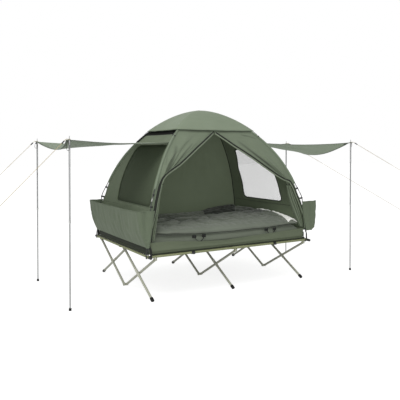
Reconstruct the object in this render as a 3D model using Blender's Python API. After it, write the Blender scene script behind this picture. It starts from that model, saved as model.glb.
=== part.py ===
"""Two-person tent cot: a folding double bed frame on crossed legs, with a dome tent on it,
an awning on two poles at each end, an air mattress and a sleeping bag inside.

Metres, +Z up. X runs along the bed, and the door looks towards -Y. The origin is on the
ground under the middle of the bed.
"""

import math

import bmesh
import bpy
from mathutils import Matrix, Vector

# Bed frame: three stations of crossed legs under a front, a centre and a back rail
STATIONS = {"left": -0.90, "middle": 0.0, "right": 0.90}
SIDE_Y = 0.690
PIVOT_Z = 0.3928
FOOT_Z = 0.0135
LEG_RADIUS = 0.0125
LEG_STEP = 0.0137
EYE_RADIUS = 0.0130
RAIL_Z = 0.4215
RAIL_RADIUS = 0.0125
SLEEVE = (-0.030, 0.165)
SLEEVE_WALL = 0.0022
SPIGOT = 0.0190
BAR_X = 0.957
BAR_RADIUS = 0.0110
BAR_HALF = 0.735
BAR_EYE_HALF = 0.014
BAR_EYE_WALL = 0.0045
CAP_RADIUS = 0.0140
CAP_FROM = 0.712
CAP_END = 0.748
PIN_RADIUS = 0.0030
HOLE_RADIUS = 0.0036
RIVET_HEAD = (0.0075, 0.0025)
PLATE = 0.0020
PLATE_HALF = 0.0085
CUP_WALL = 0.0042
CUP_LENGTH = 0.036
SOLE_CUT = 0.0030
FIT = 0.0004
SLIDE_FIT = 0.0009

# Tent: the arch poles rise from the four corners and cross at the top
CORNER_X = 0.950
CORNER_Y = 0.685
DIAGONAL = 1.180
ARCH_FOOT_Z = 0.440
ARCH_RISE = 0.937
ARCH_REACH = 0.370
ARCH_TOP_Z = 1.827
ARCH_RADIUS = 0.0045
ARCH_OFFSET = 0.0105
ARCH_STEPS = 22
ARCH_BUTT_Z = 0.4380
CROSSING_RISE = 0.0100
CROSSING_WIDTH = 0.09
BULGE = (0.905, 0.085, 0.018)
CLOTH = 0.003
DISH = 0.018
SILL_Z = 0.545
WALL_FOOT_Z = 0.547
BED_Z = 0.4366
BED_HALF = (0.930, 0.702)
BED_CLOTH_THICKNESS = 0.0025
TRAY_Z = 0.4395
TRAY_HALF = (0.946, 0.682)
VENT_SHARE = 0.10
CAP_SHARE = 0.515
CAP_OFFSET = 0.0270
CAP_DROOP = 0.004
CAP_CLOTH = 0.002

# Door: the edges of its opening run from the sill to the peak, as (height, x)
DOOR_PEAK = (-0.075, 1.572)
DOOR_LEFT = [(0.545, -0.925), (0.83, -0.868), (1.10, -0.775), (1.18, -0.700), (1.572, -0.075)]
DOOR_RIGHT = [(0.545, 0.925), (0.75, 0.892), (1.00, 0.800), (1.08, 0.745), (1.572, -0.075)]
CURTAINS = {
    "left": [(0.565, -0.892), (0.68, -0.872), (0.83, -0.838), (1.06, -0.765), (1.16, -0.722)],
    "right": [(0.565, 0.897), (0.68, 0.884), (0.80, 0.858), (0.98, 0.800), (1.06, 0.768)],
}
CURTAIN_REACH = [(0.565, 0.032), (0.80, 0.028), (1.00, 0.020), (1.16, 0.013)]
CURTAIN_FLAT = 0.62
CURTAIN_FOLDS = 5
CURTAIN_FOLD = 0.20
CURTAIN_SET_BACK = 0.75
CURTAIN_TWIST = 3.0

# Pockets: how far each one stands out along X at each height, as (height, x)
POCKET_TUCK_Z = 0.502
POCKET_LOW_Z = 0.508
POCKET_TOP_Z = 0.845
POCKET_INNER_X = 0.930
POCKET_LEAN = 0.030
POCKET_HALF_Y = 0.702
POCKET_CORNER = (0.020, 0.008)
POCKET_TUCK_X = 0.953
POCKET_FACE_HALF = 0.66
POCKET_BELLY = 0.004
POCKET_SHOULDER = 0.005
POCKET_TAPER = 0.006
POCKET_REACH = {
    "left": [(0.508, 0.972), (0.55, 0.995), (0.63, 1.028), (0.74, 1.050), (0.845, 1.062)],
    "right": [(0.508, 1.000), (0.535, 1.060), (0.63, 1.078), (0.74, 1.090), (0.845, 1.098)],
}

# Bedding
MATTRESS_HALF = (0.905, 0.648)
MATTRESS_Z = (0.4430, 0.6000)
MATTRESS_TUBES = 6
MATTRESS_SEAM = 0.42
GROOVE = 0.022
BAG_CENTRE_X = 0.02
BAG_HALF = (0.860, 0.612)
BAG_Z = (0.6030, 0.6800)
BAG_SEAM = 0.30
BAG_QUILT = 0.007
BAG_HEAPS = (0.010, 0.012, 0.006)
BAG_LEAST = 0.012
LINING_X = (0.690, 0.840)
LINING_Y = (-0.460, 0.220)
LINING_SKEW = 0.05
LINING_THICKNESS = 0.006
LINING_CURL = 0.020

# Awnings, their poles and guy lines
HEADER_Z = 1.486
HEADER_OUT = 0.0065
HEADER_IN = 0.010
POLE_Z = 1.500
POLES = {
    "left_front": (-1.650, -0.560),
    "left_back": (-1.645, 0.648),
    "right_front": (1.648, -0.682),
    "right_back": (1.650, 0.486),
}
AWNING_SAG = {"left": 0.085, "right": 0.150}
HEM_DRAW = 0.045
CORNER_GROW = (0.012, 0.022)
RIPPLE = 0.006
EDGE_DROOP = 0.010
EYELET_RADIUS = 0.0050
UPPER_TUBE = (0.0080, 0.770)
LOWER_TUBE = (0.0068, 0.790)
SHOULDER = 0.0048
SPIKE_RADIUS = 0.0030
SPIKE_RISE = 0.034
POLE_FOOT = (0.0095, 0.022)
CORD_RADIUS = 0.0020
CORD_WAY = {"left": (-1.0, -0.15, -0.97), "right": (1.0, -0.50, -0.65)}
CORD_RUN = {"left_front": 0.66, "left_back": 0.46, "right_front": 0.62, "right_back": 1.52}
RING_RADIUS = 0.0085
RING_RISE = 0.0060
CORD_START = 0.030
LOOP_LENGTH = 0.060
LOOP_HALF = 0.014
KNOT_RADIUS = 0.0052
RUNNER_AT = 0.040
RUNNER_HALF = (0.016, 0.0055, 0.0045)
RUNNER_FIT = 0.0006

# Colours, as sRGB
CANVAS = "6f7a68"
CANVAS_LIGHT = "7f8b77"
CANVAS_DARK = "4a5540"
BED_CLOTH = "3d4536"
STEEL_KHAKI = "98997f"
RAIL_KHAKI = "9aa37a"
STEEL_GREY = "8c8c8a"
FIBREGLASS = "6e7272"
BLACK = "1c1d1b"
CORD = "d9cfae"
PVC = "5d6357"
QUILT = "6b7063"
LINING = "dcdcd6"


def linear(code):
    """The linear colour of an sRGB hex code."""
    values = [int(code[i:i + 2], 16) / 255 for i in (0, 2, 4)]
    return [v / 12.92 if v <= 0.04045 else ((v + 0.055) / 1.055) ** 2.4 for v in values]


def finish(name, code, roughness, metallic=0.0):
    """A Principled material, one for each sub-part."""
    material = bpy.data.materials.new(name)
    material.use_nodes = True
    shader = material.node_tree.nodes["Principled BSDF"]
    shader.inputs["Base Color"].default_value = (*linear(code), 1)
    shader.inputs["Roughness"].default_value = roughness
    shader.inputs["Metallic"].default_value = metallic
    return material


def place(name, mesh, code, roughness=0.8, metallic=0.0, turn=0.0, move=(0, 0, 0), sharp=35.0):
    """Puts a mesh in the scene as a named sub-part, turned about Z, with a material of its own."""
    if sharp:
        mesh.shade_smooth()
        mesh.set_sharp_from_angle(angle=math.radians(sharp))
    if not mesh.materials:
        mesh.materials.append(None)
    part = bpy.data.objects.new(name, mesh)
    bpy.context.collection.objects.link(part)
    part.location = move
    part.rotation_euler = (0, 0, turn)
    slot = part.material_slots[0]
    slot.link = "OBJECT"
    slot.material = finish(f"{name}_finish", code, roughness, metallic)
    return part


def mesh_of(bm, name):
    """Turns a bmesh into a mesh and frees it."""
    mesh = bpy.data.meshes.new(name)
    bm.to_mesh(mesh)
    bm.free()
    return mesh


def rod_mesh(start, end, radius, sides=12):
    """A closed round rod between two points."""
    start, end = Vector(start), Vector(end)
    way = end - start
    turn = way.to_track_quat("Z", "Y").to_matrix().to_4x4()
    bm = bmesh.new()
    bmesh.ops.create_cone(
        bm,
        cap_ends=True,
        cap_tris=False,
        segments=sides,
        radius1=radius,
        radius2=radius,
        depth=way.length,
        matrix=Matrix.Translation((start + end) / 2) @ turn,
    )
    return mesh_of(bm, "rod")


def box_mesh(low, high):
    """A closed box between two corners."""
    low, high = Vector(low), Vector(high)
    size = Matrix.Diagonal((*(high - low), 1))
    bm = bmesh.new()
    bmesh.ops.create_cube(bm, size=1.0, matrix=Matrix.Translation((low + high) / 2) @ size)
    return mesh_of(bm, "box")


def evaluated(part):
    """The mesh of an object with its modifiers or bevel applied. The object is removed."""
    bpy.context.view_layer.update()
    depsgraph = bpy.context.evaluated_depsgraph_get()
    mesh = bpy.data.meshes.new_from_object(part.evaluated_get(depsgraph))
    bpy.data.objects.remove(part)
    mesh.materials.clear()
    return mesh


def joined(base, tools, operation):
    """The mesh after a Boolean with each tool in turn."""
    body = bpy.data.objects.new("body", base)
    bpy.context.collection.objects.link(body)
    helpers = []
    for tool in tools:
        helper = bpy.data.objects.new("tool", tool)
        bpy.context.collection.objects.link(helper)
        helpers.append(helper)
        step = body.modifiers.new("step", "BOOLEAN")
        step.operation = operation
        step.solver = "EXACT"
        step.object = helper
    mesh = evaluated(body)
    for helper in helpers:
        bpy.data.objects.remove(helper)
    return mesh


def tube(name, points, radius, resolution):
    """A round tube along a path, as a curve with a bevel and filled caps."""
    curve = bpy.data.curves.new(name, "CURVE")
    curve.dimensions = "3D"
    curve.bevel_depth = radius
    curve.bevel_resolution = resolution
    curve.use_fill_caps = True
    line = curve.splines.new("POLY")
    line.points.add(len(points) - 1)
    for spot, point in zip(line.points, points):
        spot.co = (*point, 1)
    part = bpy.data.objects.new(name, curve)
    bpy.context.collection.objects.link(part)
    return part


def thicken(part, thickness, offset=-1.0, even=True):
    """Gives a panel its cloth's thickness."""
    cloth = part.modifiers.new("cloth", "SOLIDIFY")
    cloth.thickness = thickness
    cloth.offset = offset
    cloth.use_even_offset = even


def panel_mesh(name, rows, flip=False):
    """One sheet of faces through rows of points."""
    bm = bmesh.new()
    grid = [[bm.verts.new(point) for point in row] for row in rows]
    for low, high in zip(grid, grid[1:]):
        for k in range(len(low) - 1):
            corners = (low[k], low[k + 1], high[k + 1], high[k])
            bm.faces.new(corners[::-1] if flip else corners)
    return mesh_of(bm, name)


def loft_mesh(name, rings):
    """A closed body through rings of points, with a flat cap at each end."""
    bm = bmesh.new()
    loops = [[bm.verts.new(point) for point in ring] for ring in rings]
    count = len(loops[0])
    for low, high in zip(loops, loops[1:]):
        for k in range(count):
            j = (k + 1) % count
            bm.faces.new((low[k], low[j], high[j], high[k]))
    bm.faces.new(loops[0][::-1])
    bm.faces.new(loops[-1])
    bmesh.ops.recalc_face_normals(bm, faces=bm.faces)
    return mesh_of(bm, name)


def pad_mesh(name, across, along, top, bottom):
    """A stuffed pad: an upper and a lower face that meet along a seam on all four sides."""
    bm = bmesh.new()
    upper, lower = [], []
    for i, v in enumerate(across):
        upper.append([])
        lower.append([])
        for j, u in enumerate(along):
            edge = i in (0, len(across) - 1) or j in (0, len(along) - 1)
            high = bm.verts.new(top(u, v))
            upper[-1].append(high)
            lower[-1].append(high if edge else bm.verts.new(bottom(u, v)))
    for i in range(len(across) - 1):
        for j in range(len(along) - 1):
            cell = [(i, j), (i, j + 1), (i + 1, j + 1), (i + 1, j)]
            bm.faces.new([upper[a][b] for a, b in cell])
            bm.faces.new([lower[a][b] for a, b in cell[::-1]])
    bmesh.ops.recalc_face_normals(bm, faces=bm.faces)
    return mesh_of(bm, name)


def axis_empty(name, point, parts):
    """An empty on a joint's axis, which carries the pieces that turn or slide there."""
    empty = bpy.data.objects.new(name, None)
    empty.location = point
    bpy.context.collection.objects.link(empty)
    bpy.context.view_layer.update()
    for part in parts:
        part.parent = empty
        part.matrix_parent_inverse = empty.matrix_world.inverted()


def spread(low, high, count):
    """Evenly spaced values, both ends included."""
    return [low + (high - low) * k / (count - 1) for k in range(count)]


def between(value, stops):
    """Linear interpolation in (key, value) stops, sorted by key."""
    for (k0, v0), (k1, v1) in zip(stops, stops[1:]):
        if value <= k1:
            return v0 + (v1 - v0) * max(0.0, (value - k0) / (k1 - k0))
    return stops[-1][1]


def arch(t, offset=0.0):
    """Distance from the tent's middle along the diagonal, and height, on the arch at t from 0 to 1."""
    foot = ((0.0, ARCH_FOOT_Z), (0.0, ARCH_FOOT_Z + ARCH_RISE))
    crown = ((DIAGONAL - ARCH_REACH, ARCH_TOP_Z), (DIAGONAL, ARCH_TOP_Z))
    handles = foot + crown
    weights = ((1 - t) ** 3, 3 * (1 - t) ** 2 * t, 3 * (1 - t) * t * t, t ** 3)
    slopes = ((1 - t) ** 2, 2 * (1 - t) * t, t * t)
    s, z = (sum(w * h[k] for w, h in zip(weights, handles)) for k in (0, 1))
    ds, dz = (
        sum(w * (q[k] - p[k]) for w, q, p in zip(slopes, handles[1:], handles)) for k in (0, 1)
    )
    length = math.hypot(ds, dz)
    return DIAGONAL - s + offset * dz / length, z + offset * ds / length


def solve(test):
    """The value from 0 to 1 at which a test that starts false becomes true."""
    low, high = 0.0, 1.0
    for _ in range(40):
        middle = (low + high) / 2
        low, high = (low, middle) if test(middle) else (middle, high)
    return high


def share_at(z):
    """How far out the tent's wall stands at a height, as a share of its corner."""
    t = solve(lambda t: arch(t)[1] >= z)
    return arch(t)[0] / DIAGONAL


def height_at(share, offset=0.0):
    """The height at which the tent's wall, or a surface that far outside it, stands that far out."""
    t = solve(lambda t: arch(t, offset)[0] / DIAGONAL <= share)
    return arch(t, offset)[1]


def leg_line(kind):
    """Top and bottom of a leg of the front half, in (y, z)."""
    if kind == "outer":
        return (0.0, PIVOT_Z), (-SIDE_Y, FOOT_Z)
    return (-SIDE_Y, PIVOT_Z), (0.0, FOOT_Z)


def leg_mesh(kind):
    """A leg of the front half at x = 0. The outer one carries the crossing rivet."""
    x = -LEG_STEP if kind == "outer" else LEG_STEP
    top, foot = leg_line(kind)
    middle = ((top[0] + foot[0]) / 2, (top[1] + foot[1]) / 2)
    bar = rod_mesh((x, *top), (x, *foot), LEG_RADIUS, 10)
    wide = LEG_RADIUS - FIT
    adds = [rod_mesh((x - wide, *top), (x + wide, *top), EYE_RADIUS, 10)]
    if kind == "outer":
        head_radius, head = RIVET_HEAD
        outside = LEG_STEP + LEG_RADIUS + 0.0010
        adds.append(rod_mesh((x, *middle), (outside + head, *middle), PIN_RADIUS, 8))
        adds.append(rod_mesh((outside, *middle), (outside + head, *middle), head_radius, 8))
    else:
        adds.append(rod_mesh((x - wide, *foot), (x + wide, *foot), FOOT_Z, 12))
    bar = joined(bar, adds, "UNION")
    reach = 2 * LEG_RADIUS
    holes = [rod_mesh((x - reach, *top), (x + reach, *top), HOLE_RADIUS, 8)]
    if kind == "inner":
        holes.append(rod_mesh((x - reach, *middle), (x + reach, *middle), HOLE_RADIUS, 8))
    return joined(bar, holes, "DIFFERENCE")


def foot_mesh():
    """The rubber cup on an outer leg's end, cut flat where it stands on the ground."""
    top, foot = leg_line("outer")
    way = Vector((0, foot[0] - top[0], foot[1] - top[1])).normalized()
    end = Vector((-LEG_STEP, *foot))
    cup = rod_mesh(end - way * CUP_LENGTH, end, LEG_RADIUS + CUP_WALL, 12)
    low = min(v.co.z for v in cup.vertices) + SOLE_CUT
    cup.transform(Matrix.Translation(way * (-low / way.z)))
    bore = rod_mesh(end - way * 2 * CUP_LENGTH, end + way * 2 * FIT, LEG_RADIUS + FIT, 10)
    ground = box_mesh((-0.1, -SIDE_Y - 0.1, -0.1), (0.1, -SIDE_Y + 0.1, 0))
    return joined(cup, [bore, ground], "DIFFERENCE")


def make_legs():
    """Three stations of four legs, with the rubber feet of the outer ones."""
    bodies = {"front_outer": [], "front_inner": [], "back_outer": [], "back_inner": []}
    meshes = {kind: leg_mesh(kind) for kind in ("outer", "inner")}
    cup = foot_mesh()
    for spot, x in STATIONS.items():
        for half, turn in (("front", 0.0), ("back", math.pi)):
            where = {"turn": turn, "move": (x, 0, 0)}
            for kind, mesh in meshes.items():
                name = f"leg_{half}_{kind}_{spot}"
                bodies[f"{half}_{kind}"].append(place(name, mesh, STEEL_KHAKI, 0.45, 0.3, **where))
            foot = place(f"foot_{half}_{spot}", cup, BLACK, 0.7, **where)
            bodies[f"{half}_outer"].append(foot)
    return bodies


def hanger(x, low, high):
    """Two plates under a rail and the pin through them, in which a leg turns."""
    out = 2 * PLATE
    return [
        box_mesh((x + low - PLATE, -PLATE_HALF, PIVOT_Z - PLATE_HALF), (x + low, PLATE_HALF, RAIL_Z)),
        box_mesh((x + high, -PLATE_HALF, PIVOT_Z - PLATE_HALF), (x + high + PLATE, PLATE_HALF, RAIL_Z)),
        rod_mesh((x + low - out, 0, PIVOT_Z), (x + high + out, 0, PIVOT_Z), PIN_RADIUS, 8),
    ]


def rail_mesh(side, low, high):
    """Half a rail at y = 0. The right half carries the middle sleeve and the middle hanger."""
    sign = -1 if side == "left" else 1
    start = SPIGOT + 0.0010 if side == "right" else SPIGOT - 0.0010
    end = sign * (BAR_X - BAR_RADIUS)
    rail = rod_mesh((end, 0, RAIL_Z), (start, 0, RAIL_Z), RAIL_RADIUS, 12)
    bar = (sign * BAR_X, RAIL_Z)
    eye = BAR_RADIUS + BAR_EYE_WALL
    adds = [
        rod_mesh((bar[0], -BAR_EYE_HALF, bar[1]), (bar[0], BAR_EYE_HALF, bar[1]), eye, 12),
        *hanger(STATIONS[side], low, high),
    ]
    reach = 3 * BAR_EYE_HALF
    cuts = [rod_mesh((bar[0], -reach, bar[1]), (bar[0], reach, bar[1]), BAR_RADIUS + SLIDE_FIT, 12)]
    if side == "right":
        near, far = SLEEVE
        adds.append(rod_mesh((near, 0, RAIL_Z), (far, 0, RAIL_Z), RAIL_RADIUS + SLEEVE_WALL, 12))
        adds.extend(hanger(STATIONS["middle"], low, high))
        cuts.append(rod_mesh((2 * near, 0, RAIL_Z), (SPIGOT, 0, RAIL_Z), RAIL_RADIUS + FIT, 12))
    return joined(joined(rail, adds, "UNION"), cuts, "DIFFERENCE")


def make_rails():
    """Front, centre and back rails, each of two halves that plug together."""
    inside = LEG_STEP - LEG_RADIUS - FIT
    outside = LEG_STEP + LEG_RADIUS + FIT
    rails = {"front": [], "back": []}
    for side, other in (("left", "right"), ("right", "left")):
        edge = rail_mesh(side, inside, outside)
        front = place(f"rail_front_{side}", edge, RAIL_KHAKI, 0.6, 0.1, move=(0, -SIDE_Y, 0))
        back = place(f"rail_back_{other}", edge, RAIL_KHAKI, 0.6, 0.1, math.pi, (0, SIDE_Y, 0))
        rails["front"].append(front)
        rails["back"].append(back)
        place(f"rail_centre_{side}", rail_mesh(side, -outside, outside), STEEL_KHAKI, 0.5, 0.3)
    return rails


def make_end_bars():
    """The bar across each end of the bed, on which the rails' eyes slide, and its end caps."""
    for side, sign in (("left", -1), ("right", 1)):
        x = sign * BAR_X
        bar = rod_mesh((x, -BAR_HALF, RAIL_Z), (x, BAR_HALF, RAIL_Z), BAR_RADIUS, 12)
        place(f"end_bar_{side}", bar, RAIL_KHAKI, 0.5, 0.3)
        for end, way in (("front", -1), ("back", 1)):
            cap = rod_mesh((x, way * CAP_FROM, RAIL_Z), (x, way * CAP_END, RAIL_Z), CAP_RADIUS, 12)
            open_y = way * (CAP_FROM - CAP_RADIUS)
            shut_y = way * (BAR_HALF + FIT)
            bore = rod_mesh((x, open_y, RAIL_Z), (x, shut_y, RAIL_Z), BAR_RADIUS + FIT, 12)
            place(f"end_cap_{side}_{end}", joined(cap, [bore], "DIFFERENCE"), BLACK, 0.5)


def levels(low, high, count):
    """Heights up the tent's wall, closer together near the top, by even steps along the arch."""
    first = solve(lambda t: arch(t)[1] >= low)
    last = solve(lambda t: arch(t)[1] >= high)
    return [arch(t)[1] for t in spread(first, last, count)]


def wall_point(side, along, z, inset):
    """A point on the back or an end wall; along runs from -1 to 1 between the poles."""
    share = share_at(z)
    a, b = share * CORNER_X, share * CORNER_Y
    hollow = DISH * (1 - along * along) * min(1.0, share * 2)
    if side == "back":
        return (along * (a - inset), b - hollow, z)
    sign = -1 if side == "left" else 1
    return (sign * (a - hollow), along * (b - inset), z)


def front_wall_mesh():
    """Two strips of cloth beside the door, which meet at its peak and rise to the vent."""
    peak_x, peak_z = DOOR_PEAK
    beside_door = [WALL_FOOT_Z, 0.70, 0.85, 0.97, 1.08, 1.18, 1.28, 1.38, 1.48, peak_z]
    above_door = levels(peak_z, height_at(VENT_SHARE), 6)[1:]
    bm = bmesh.new()
    rows = []
    for z in beside_door + above_door:
        share = share_at(z)
        a, b = share * CORNER_X - FIT, share * CORNER_Y
        seam = peak_x * share / share_at(peak_z)
        edges = ((-a, seam), (seam, a))
        if z < peak_z:
            edges = ((-a, between(z, DOOR_LEFT)), (between(z, DOOR_RIGHT), a))
        strips = [[bm.verts.new((x, -b, z)) for x in spread(*edge, 5)] for edge in edges]
        if z >= peak_z:
            bm.verts.remove(strips[1][0])
            strips[1][0] = strips[0][-1]
        rows.append(strips)
    for lower, upper in zip(rows, rows[1:]):
        for one, two in zip(lower, upper):
            for k in range(len(one) - 1):
                bm.faces.new((one[k], one[k + 1], two[k + 1], two[k]))
    return mesh_of(bm, "front_wall")


def make_walls():
    """Front wall with its door opening, back wall and the two end walls."""
    front = place("front_wall", front_wall_mesh(), CANVAS_LIGHT)
    thicken(front, CLOTH, even=False)
    steps = levels(WALL_FOOT_Z, height_at(VENT_SHARE), 11)
    across = spread(-1, 1, 9)
    for side, inset, code in (
        ("back", FIT, CANVAS_DARK),
        ("left", 2 * CLOTH + FIT, CANVAS),
        ("right", 2 * CLOTH + FIT, CANVAS),
    ):
        name = "back_wall" if side == "back" else f"end_wall_{side}"
        rows = [[wall_point(side, along, z, inset) for along in across] for z in steps]
        wall = place(name, panel_mesh(name, rows, flip=side != "right"), code)
        thicken(wall, CLOTH)


def make_cap():
    """The rain cap over the roof vent: four gores that meet on the pole lines."""
    bm = bmesh.new()
    steps = 6
    last = [bm.verts.new((0, 0, height_at(0.0, CAP_OFFSET)))] * (4 * steps)
    for share in (0.09, 0.19, 0.30, 0.41, CAP_SHARE):
        z = height_at(share, CAP_OFFSET)
        a, b = share * CORNER_X, share * CORNER_Y
        corners = [Vector((-a, -b, z)), Vector((a, -b, z)), Vector((a, b, z)), Vector((-a, b, z))]
        ring = []
        for start, end in zip(corners, corners[1:] + corners[:1]):
            for k in range(steps):
                droop = CAP_DROOP * math.sin(math.pi * k / steps) * (share / CAP_SHARE) ** 2
                ring.append(bm.verts.new(start.lerp(end, k / steps) - Vector((0, 0, droop))))
        for k in range(len(ring)):
            j = (k + 1) % len(ring)
            loop = (last[k], ring[k], ring[j], last[j])
            bm.faces.new(loop[:3] if last[k] == last[j] else loop)
        last = ring
    cap = place("roof_cap", mesh_of(bm, "roof_cap"), CANVAS_LIGHT)
    thicken(cap, CAP_CLOTH, 1.0, even=False)


def make_arch_poles():
    """Two arch poles from corner to corner, which bow out between their clips above the pockets.

    The second one passes over the first at the top.
    """
    bulge_z, bulge_height, bulge_out = BULGE
    for name, turn, rise in (("a", 1, 0.0), ("b", -1, CROSSING_RISE)):
        points = []
        for k in range(-ARCH_STEPS, ARCH_STEPS + 1):
            r, z = arch(1 - abs(k) / ARCH_STEPS, ARCH_OFFSET)
            r += bulge_out * math.exp(-(((z - bulge_z) / bulge_height) ** 2))
            z += rise * math.exp(-((r / CROSSING_WIDTH) ** 2))
            out = math.copysign(max(r, 0.0), k) / DIAGONAL if k else 0.0
            points.append((out * CORNER_X, turn * out * CORNER_Y, z))
        for end in (0, -1):
            points[end] = (*points[end][:2], ARCH_BUTT_Z)
        pole = evaluated(tube("pole", points, ARCH_RADIUS, 1))
        place(f"arch_pole_{name}", pole, FIBREGLASS, 0.5)


def make_bed():
    """The taut bed cloth on the rails and the tent's waterproof floor tray on it."""
    x, y = BED_HALF
    cloth = box_mesh((-x, -y, BED_Z), (x, y, BED_Z + BED_CLOTH_THICKNESS))
    place("bed_cloth", cloth, BED_CLOTH, 0.85, sharp=0)
    x, y = TRAY_HALF
    block = box_mesh((-x, -y, TRAY_Z), (x, y, SILL_Z))
    bm = bmesh.new()
    bm.from_mesh(block)
    lid = [face for face in bm.faces if face.normal.z > 0.9]
    bmesh.ops.inset_region(bm, faces=lid, thickness=CLOTH, use_even_offset=True)
    bmesh.ops.translate(bm, verts=lid[0].verts[:], vec=(0, 0, TRAY_Z + CLOTH - SILL_Z))
    place("floor_tray", mesh_of(bm, "floor_tray"), CANVAS, 0.8, sharp=0)


def make_pockets():
    """The deep pocket across the foot of each end wall, open at the top."""
    corner_x, corner_y = POCKET_CORNER
    for side, sign in (("left", -1), ("right", 1)):
        rows = []
        for z in (POCKET_LOW_Z, 0.535, 0.58, 0.66, 0.75, POCKET_TOP_Z):
            up = (z - POCKET_LOW_Z) / (POCKET_TOP_Z - POCKET_LOW_Z)
            reach = between(z, POCKET_REACH[side])
            inner = POCKET_INNER_X - POCKET_LEAN * up
            edge = POCKET_HALF_Y - POCKET_TAPER * up
            shoulder = reach - POCKET_SHOULDER
            row = [(inner, -edge), (reach - corner_x, -edge), (shoulder, corner_y - edge)]
            for y in spread(-POCKET_FACE_HALF, POCKET_FACE_HALF, 7):
                row.append((reach + POCKET_BELLY * (1 - (y / POCKET_FACE_HALF) ** 2), y))
            row += [(shoulder, edge - corner_y), (reach - corner_x, edge), (inner, edge)]
            rows.append([(sign * x, y, z) for x, y in row])
        tuck = [(x, y, POCKET_TUCK_Z) for x, y, z in rows[0]]
        tuck[4:9] = [(sign * POCKET_TUCK_X, y, POCKET_TUCK_Z + 0.001) for x, y, z in rows[0][4:9]]
        mesh = panel_mesh(f"pocket_{side}", [tuck, *rows], flip=side == "left")
        thicken(place(f"pocket_{side}", mesh, CANVAS), CLOTH)


def make_curtains():
    """The two halves of the door, gathered and tied back to the front poles."""
    for side, stops in CURTAINS.items():
        rings = []
        for z in spread(stops[0][0], stops[-1][0], 9):
            x = between(z, stops)
            reach = between(z, CURTAIN_REACH)
            y = 2 * CLOTH + CURTAIN_SET_BACK * reach - share_at(z) * CORNER_Y
            ring = []
            for angle in spread(0, 2 * math.pi, 4 * CURTAIN_FOLDS + 1)[:-1]:
                fold = math.cos(CURTAIN_FOLDS * angle + CURTAIN_TWIST * z)
                out = reach * (1 + CURTAIN_FOLD * fold)
                across = CURTAIN_FLAT * out * math.sin(angle)
                ring.append((x + out * math.cos(angle), y + across, z))
            rings.append(ring)
        place(f"curtain_{side}", loft_mesh(f"curtain_{side}", rings), CANVAS_LIGHT)


def plump(u, v, long_power, cross_power):
    """How full a pad is at a point: 1 over most of it, falling round to 0 at its seam."""
    return (max(0.0, 1 - abs(u) ** long_power) * max(0.0, 1 - abs(v) ** cross_power)) ** 0.5


def make_mattress():
    """Air mattress with its lengthwise tubes."""
    half_x, half_y = MATTRESS_HALF
    low, high = MATTRESS_Z

    def top(u, v):
        full = plump(u, v, 24, 12)
        ridge = abs(math.sin(math.pi * MATTRESS_TUBES * (v + 1) / 2)) ** 0.5
        lift = (MATTRESS_SEAM + (1 - MATTRESS_SEAM) * full) * (high - low)
        pull = 1 - 0.010 * (1 - v * v) * abs(u) ** 8
        return (half_x * u * pull, half_y * v, low + lift - GROOVE * (1 - ridge) * full)

    def under(u, v):
        drop = MATTRESS_SEAM * (1 - min(1.0, 1.6 * plump(u, v, 24, 12))) * (high - low)
        return (half_x * u * 0.999, half_y * v * 0.999, low + drop)

    across = spread(-1, 1, 4 * MATTRESS_TUBES + 1)
    along = [-1, -0.985, -0.95, -0.5, 0, 0.5, 0.95, 0.985, 1]
    place("air_mattress", pad_mesh("air_mattress", across, along, top, under), PVC, 0.6)


def bag_top(u, v):
    """A point on the sleeping bag's upper face."""
    low, high = BAG_Z
    full = plump(u, v, 10, 8)
    quilt = BAG_QUILT * (abs(math.cos(math.pi * 5.5 * u)) ** 0.5 - 0.6)
    swell, tilt, heap = BAG_HEAPS
    wave = swell * math.sin(2.3 * u + 1.1 * v) + tilt * v + heap * math.sin(5 * u - 2 * v)
    lift = BAG_SEAM * (high - low) + full * ((1 - BAG_SEAM) * (high - low) + wave + quilt)
    return (BAG_CENTRE_X + BAG_HALF[0] * u, BAG_HALF[1] * v, low + max(lift, BAG_LEAST))


def bag_under(u, v):
    """A point on the sleeping bag's lower face."""
    low, high = BAG_Z
    drop = BAG_SEAM * (high - low) * (1 - min(1.0, 1.5 * plump(u, v, 10, 8)))
    x, y = BAG_HALF
    return (BAG_CENTRE_X + x * u * 0.998, y * v * 0.998, low + drop)


def make_bag():
    """The quilted sleeping bag and its turned-back corner."""
    bag = pad_mesh("sleeping_bag", spread(-1, 1, 13), spread(-1, 1, 21), bag_top, bag_under)
    place("sleeping_bag", bag, QUILT, 0.85)
    rows = []
    for v in spread(0, 1, 9):
        row = []
        for u in spread(0, 1, 7):
            start, end = LINING_X
            x = start + (end - start) * u - 2 * LINING_SKEW * (1 - v) * (1 - u)
            y = LINING_Y[0] + (LINING_Y[1] - LINING_Y[0]) * v
            rest = bag_top((x - BAG_CENTRE_X) / BAG_HALF[0], y / BAG_HALF[1])[2]
            row.append((x, y, rest + 0.010 + LINING_CURL * math.sin(math.pi * u)))
        rows.append(row)
    lining = place("bag_lining", panel_mesh("bag_lining", rows, flip=True), LINING, 0.9)
    thicken(lining, LINING_THICKNESS, 1.0)


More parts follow.
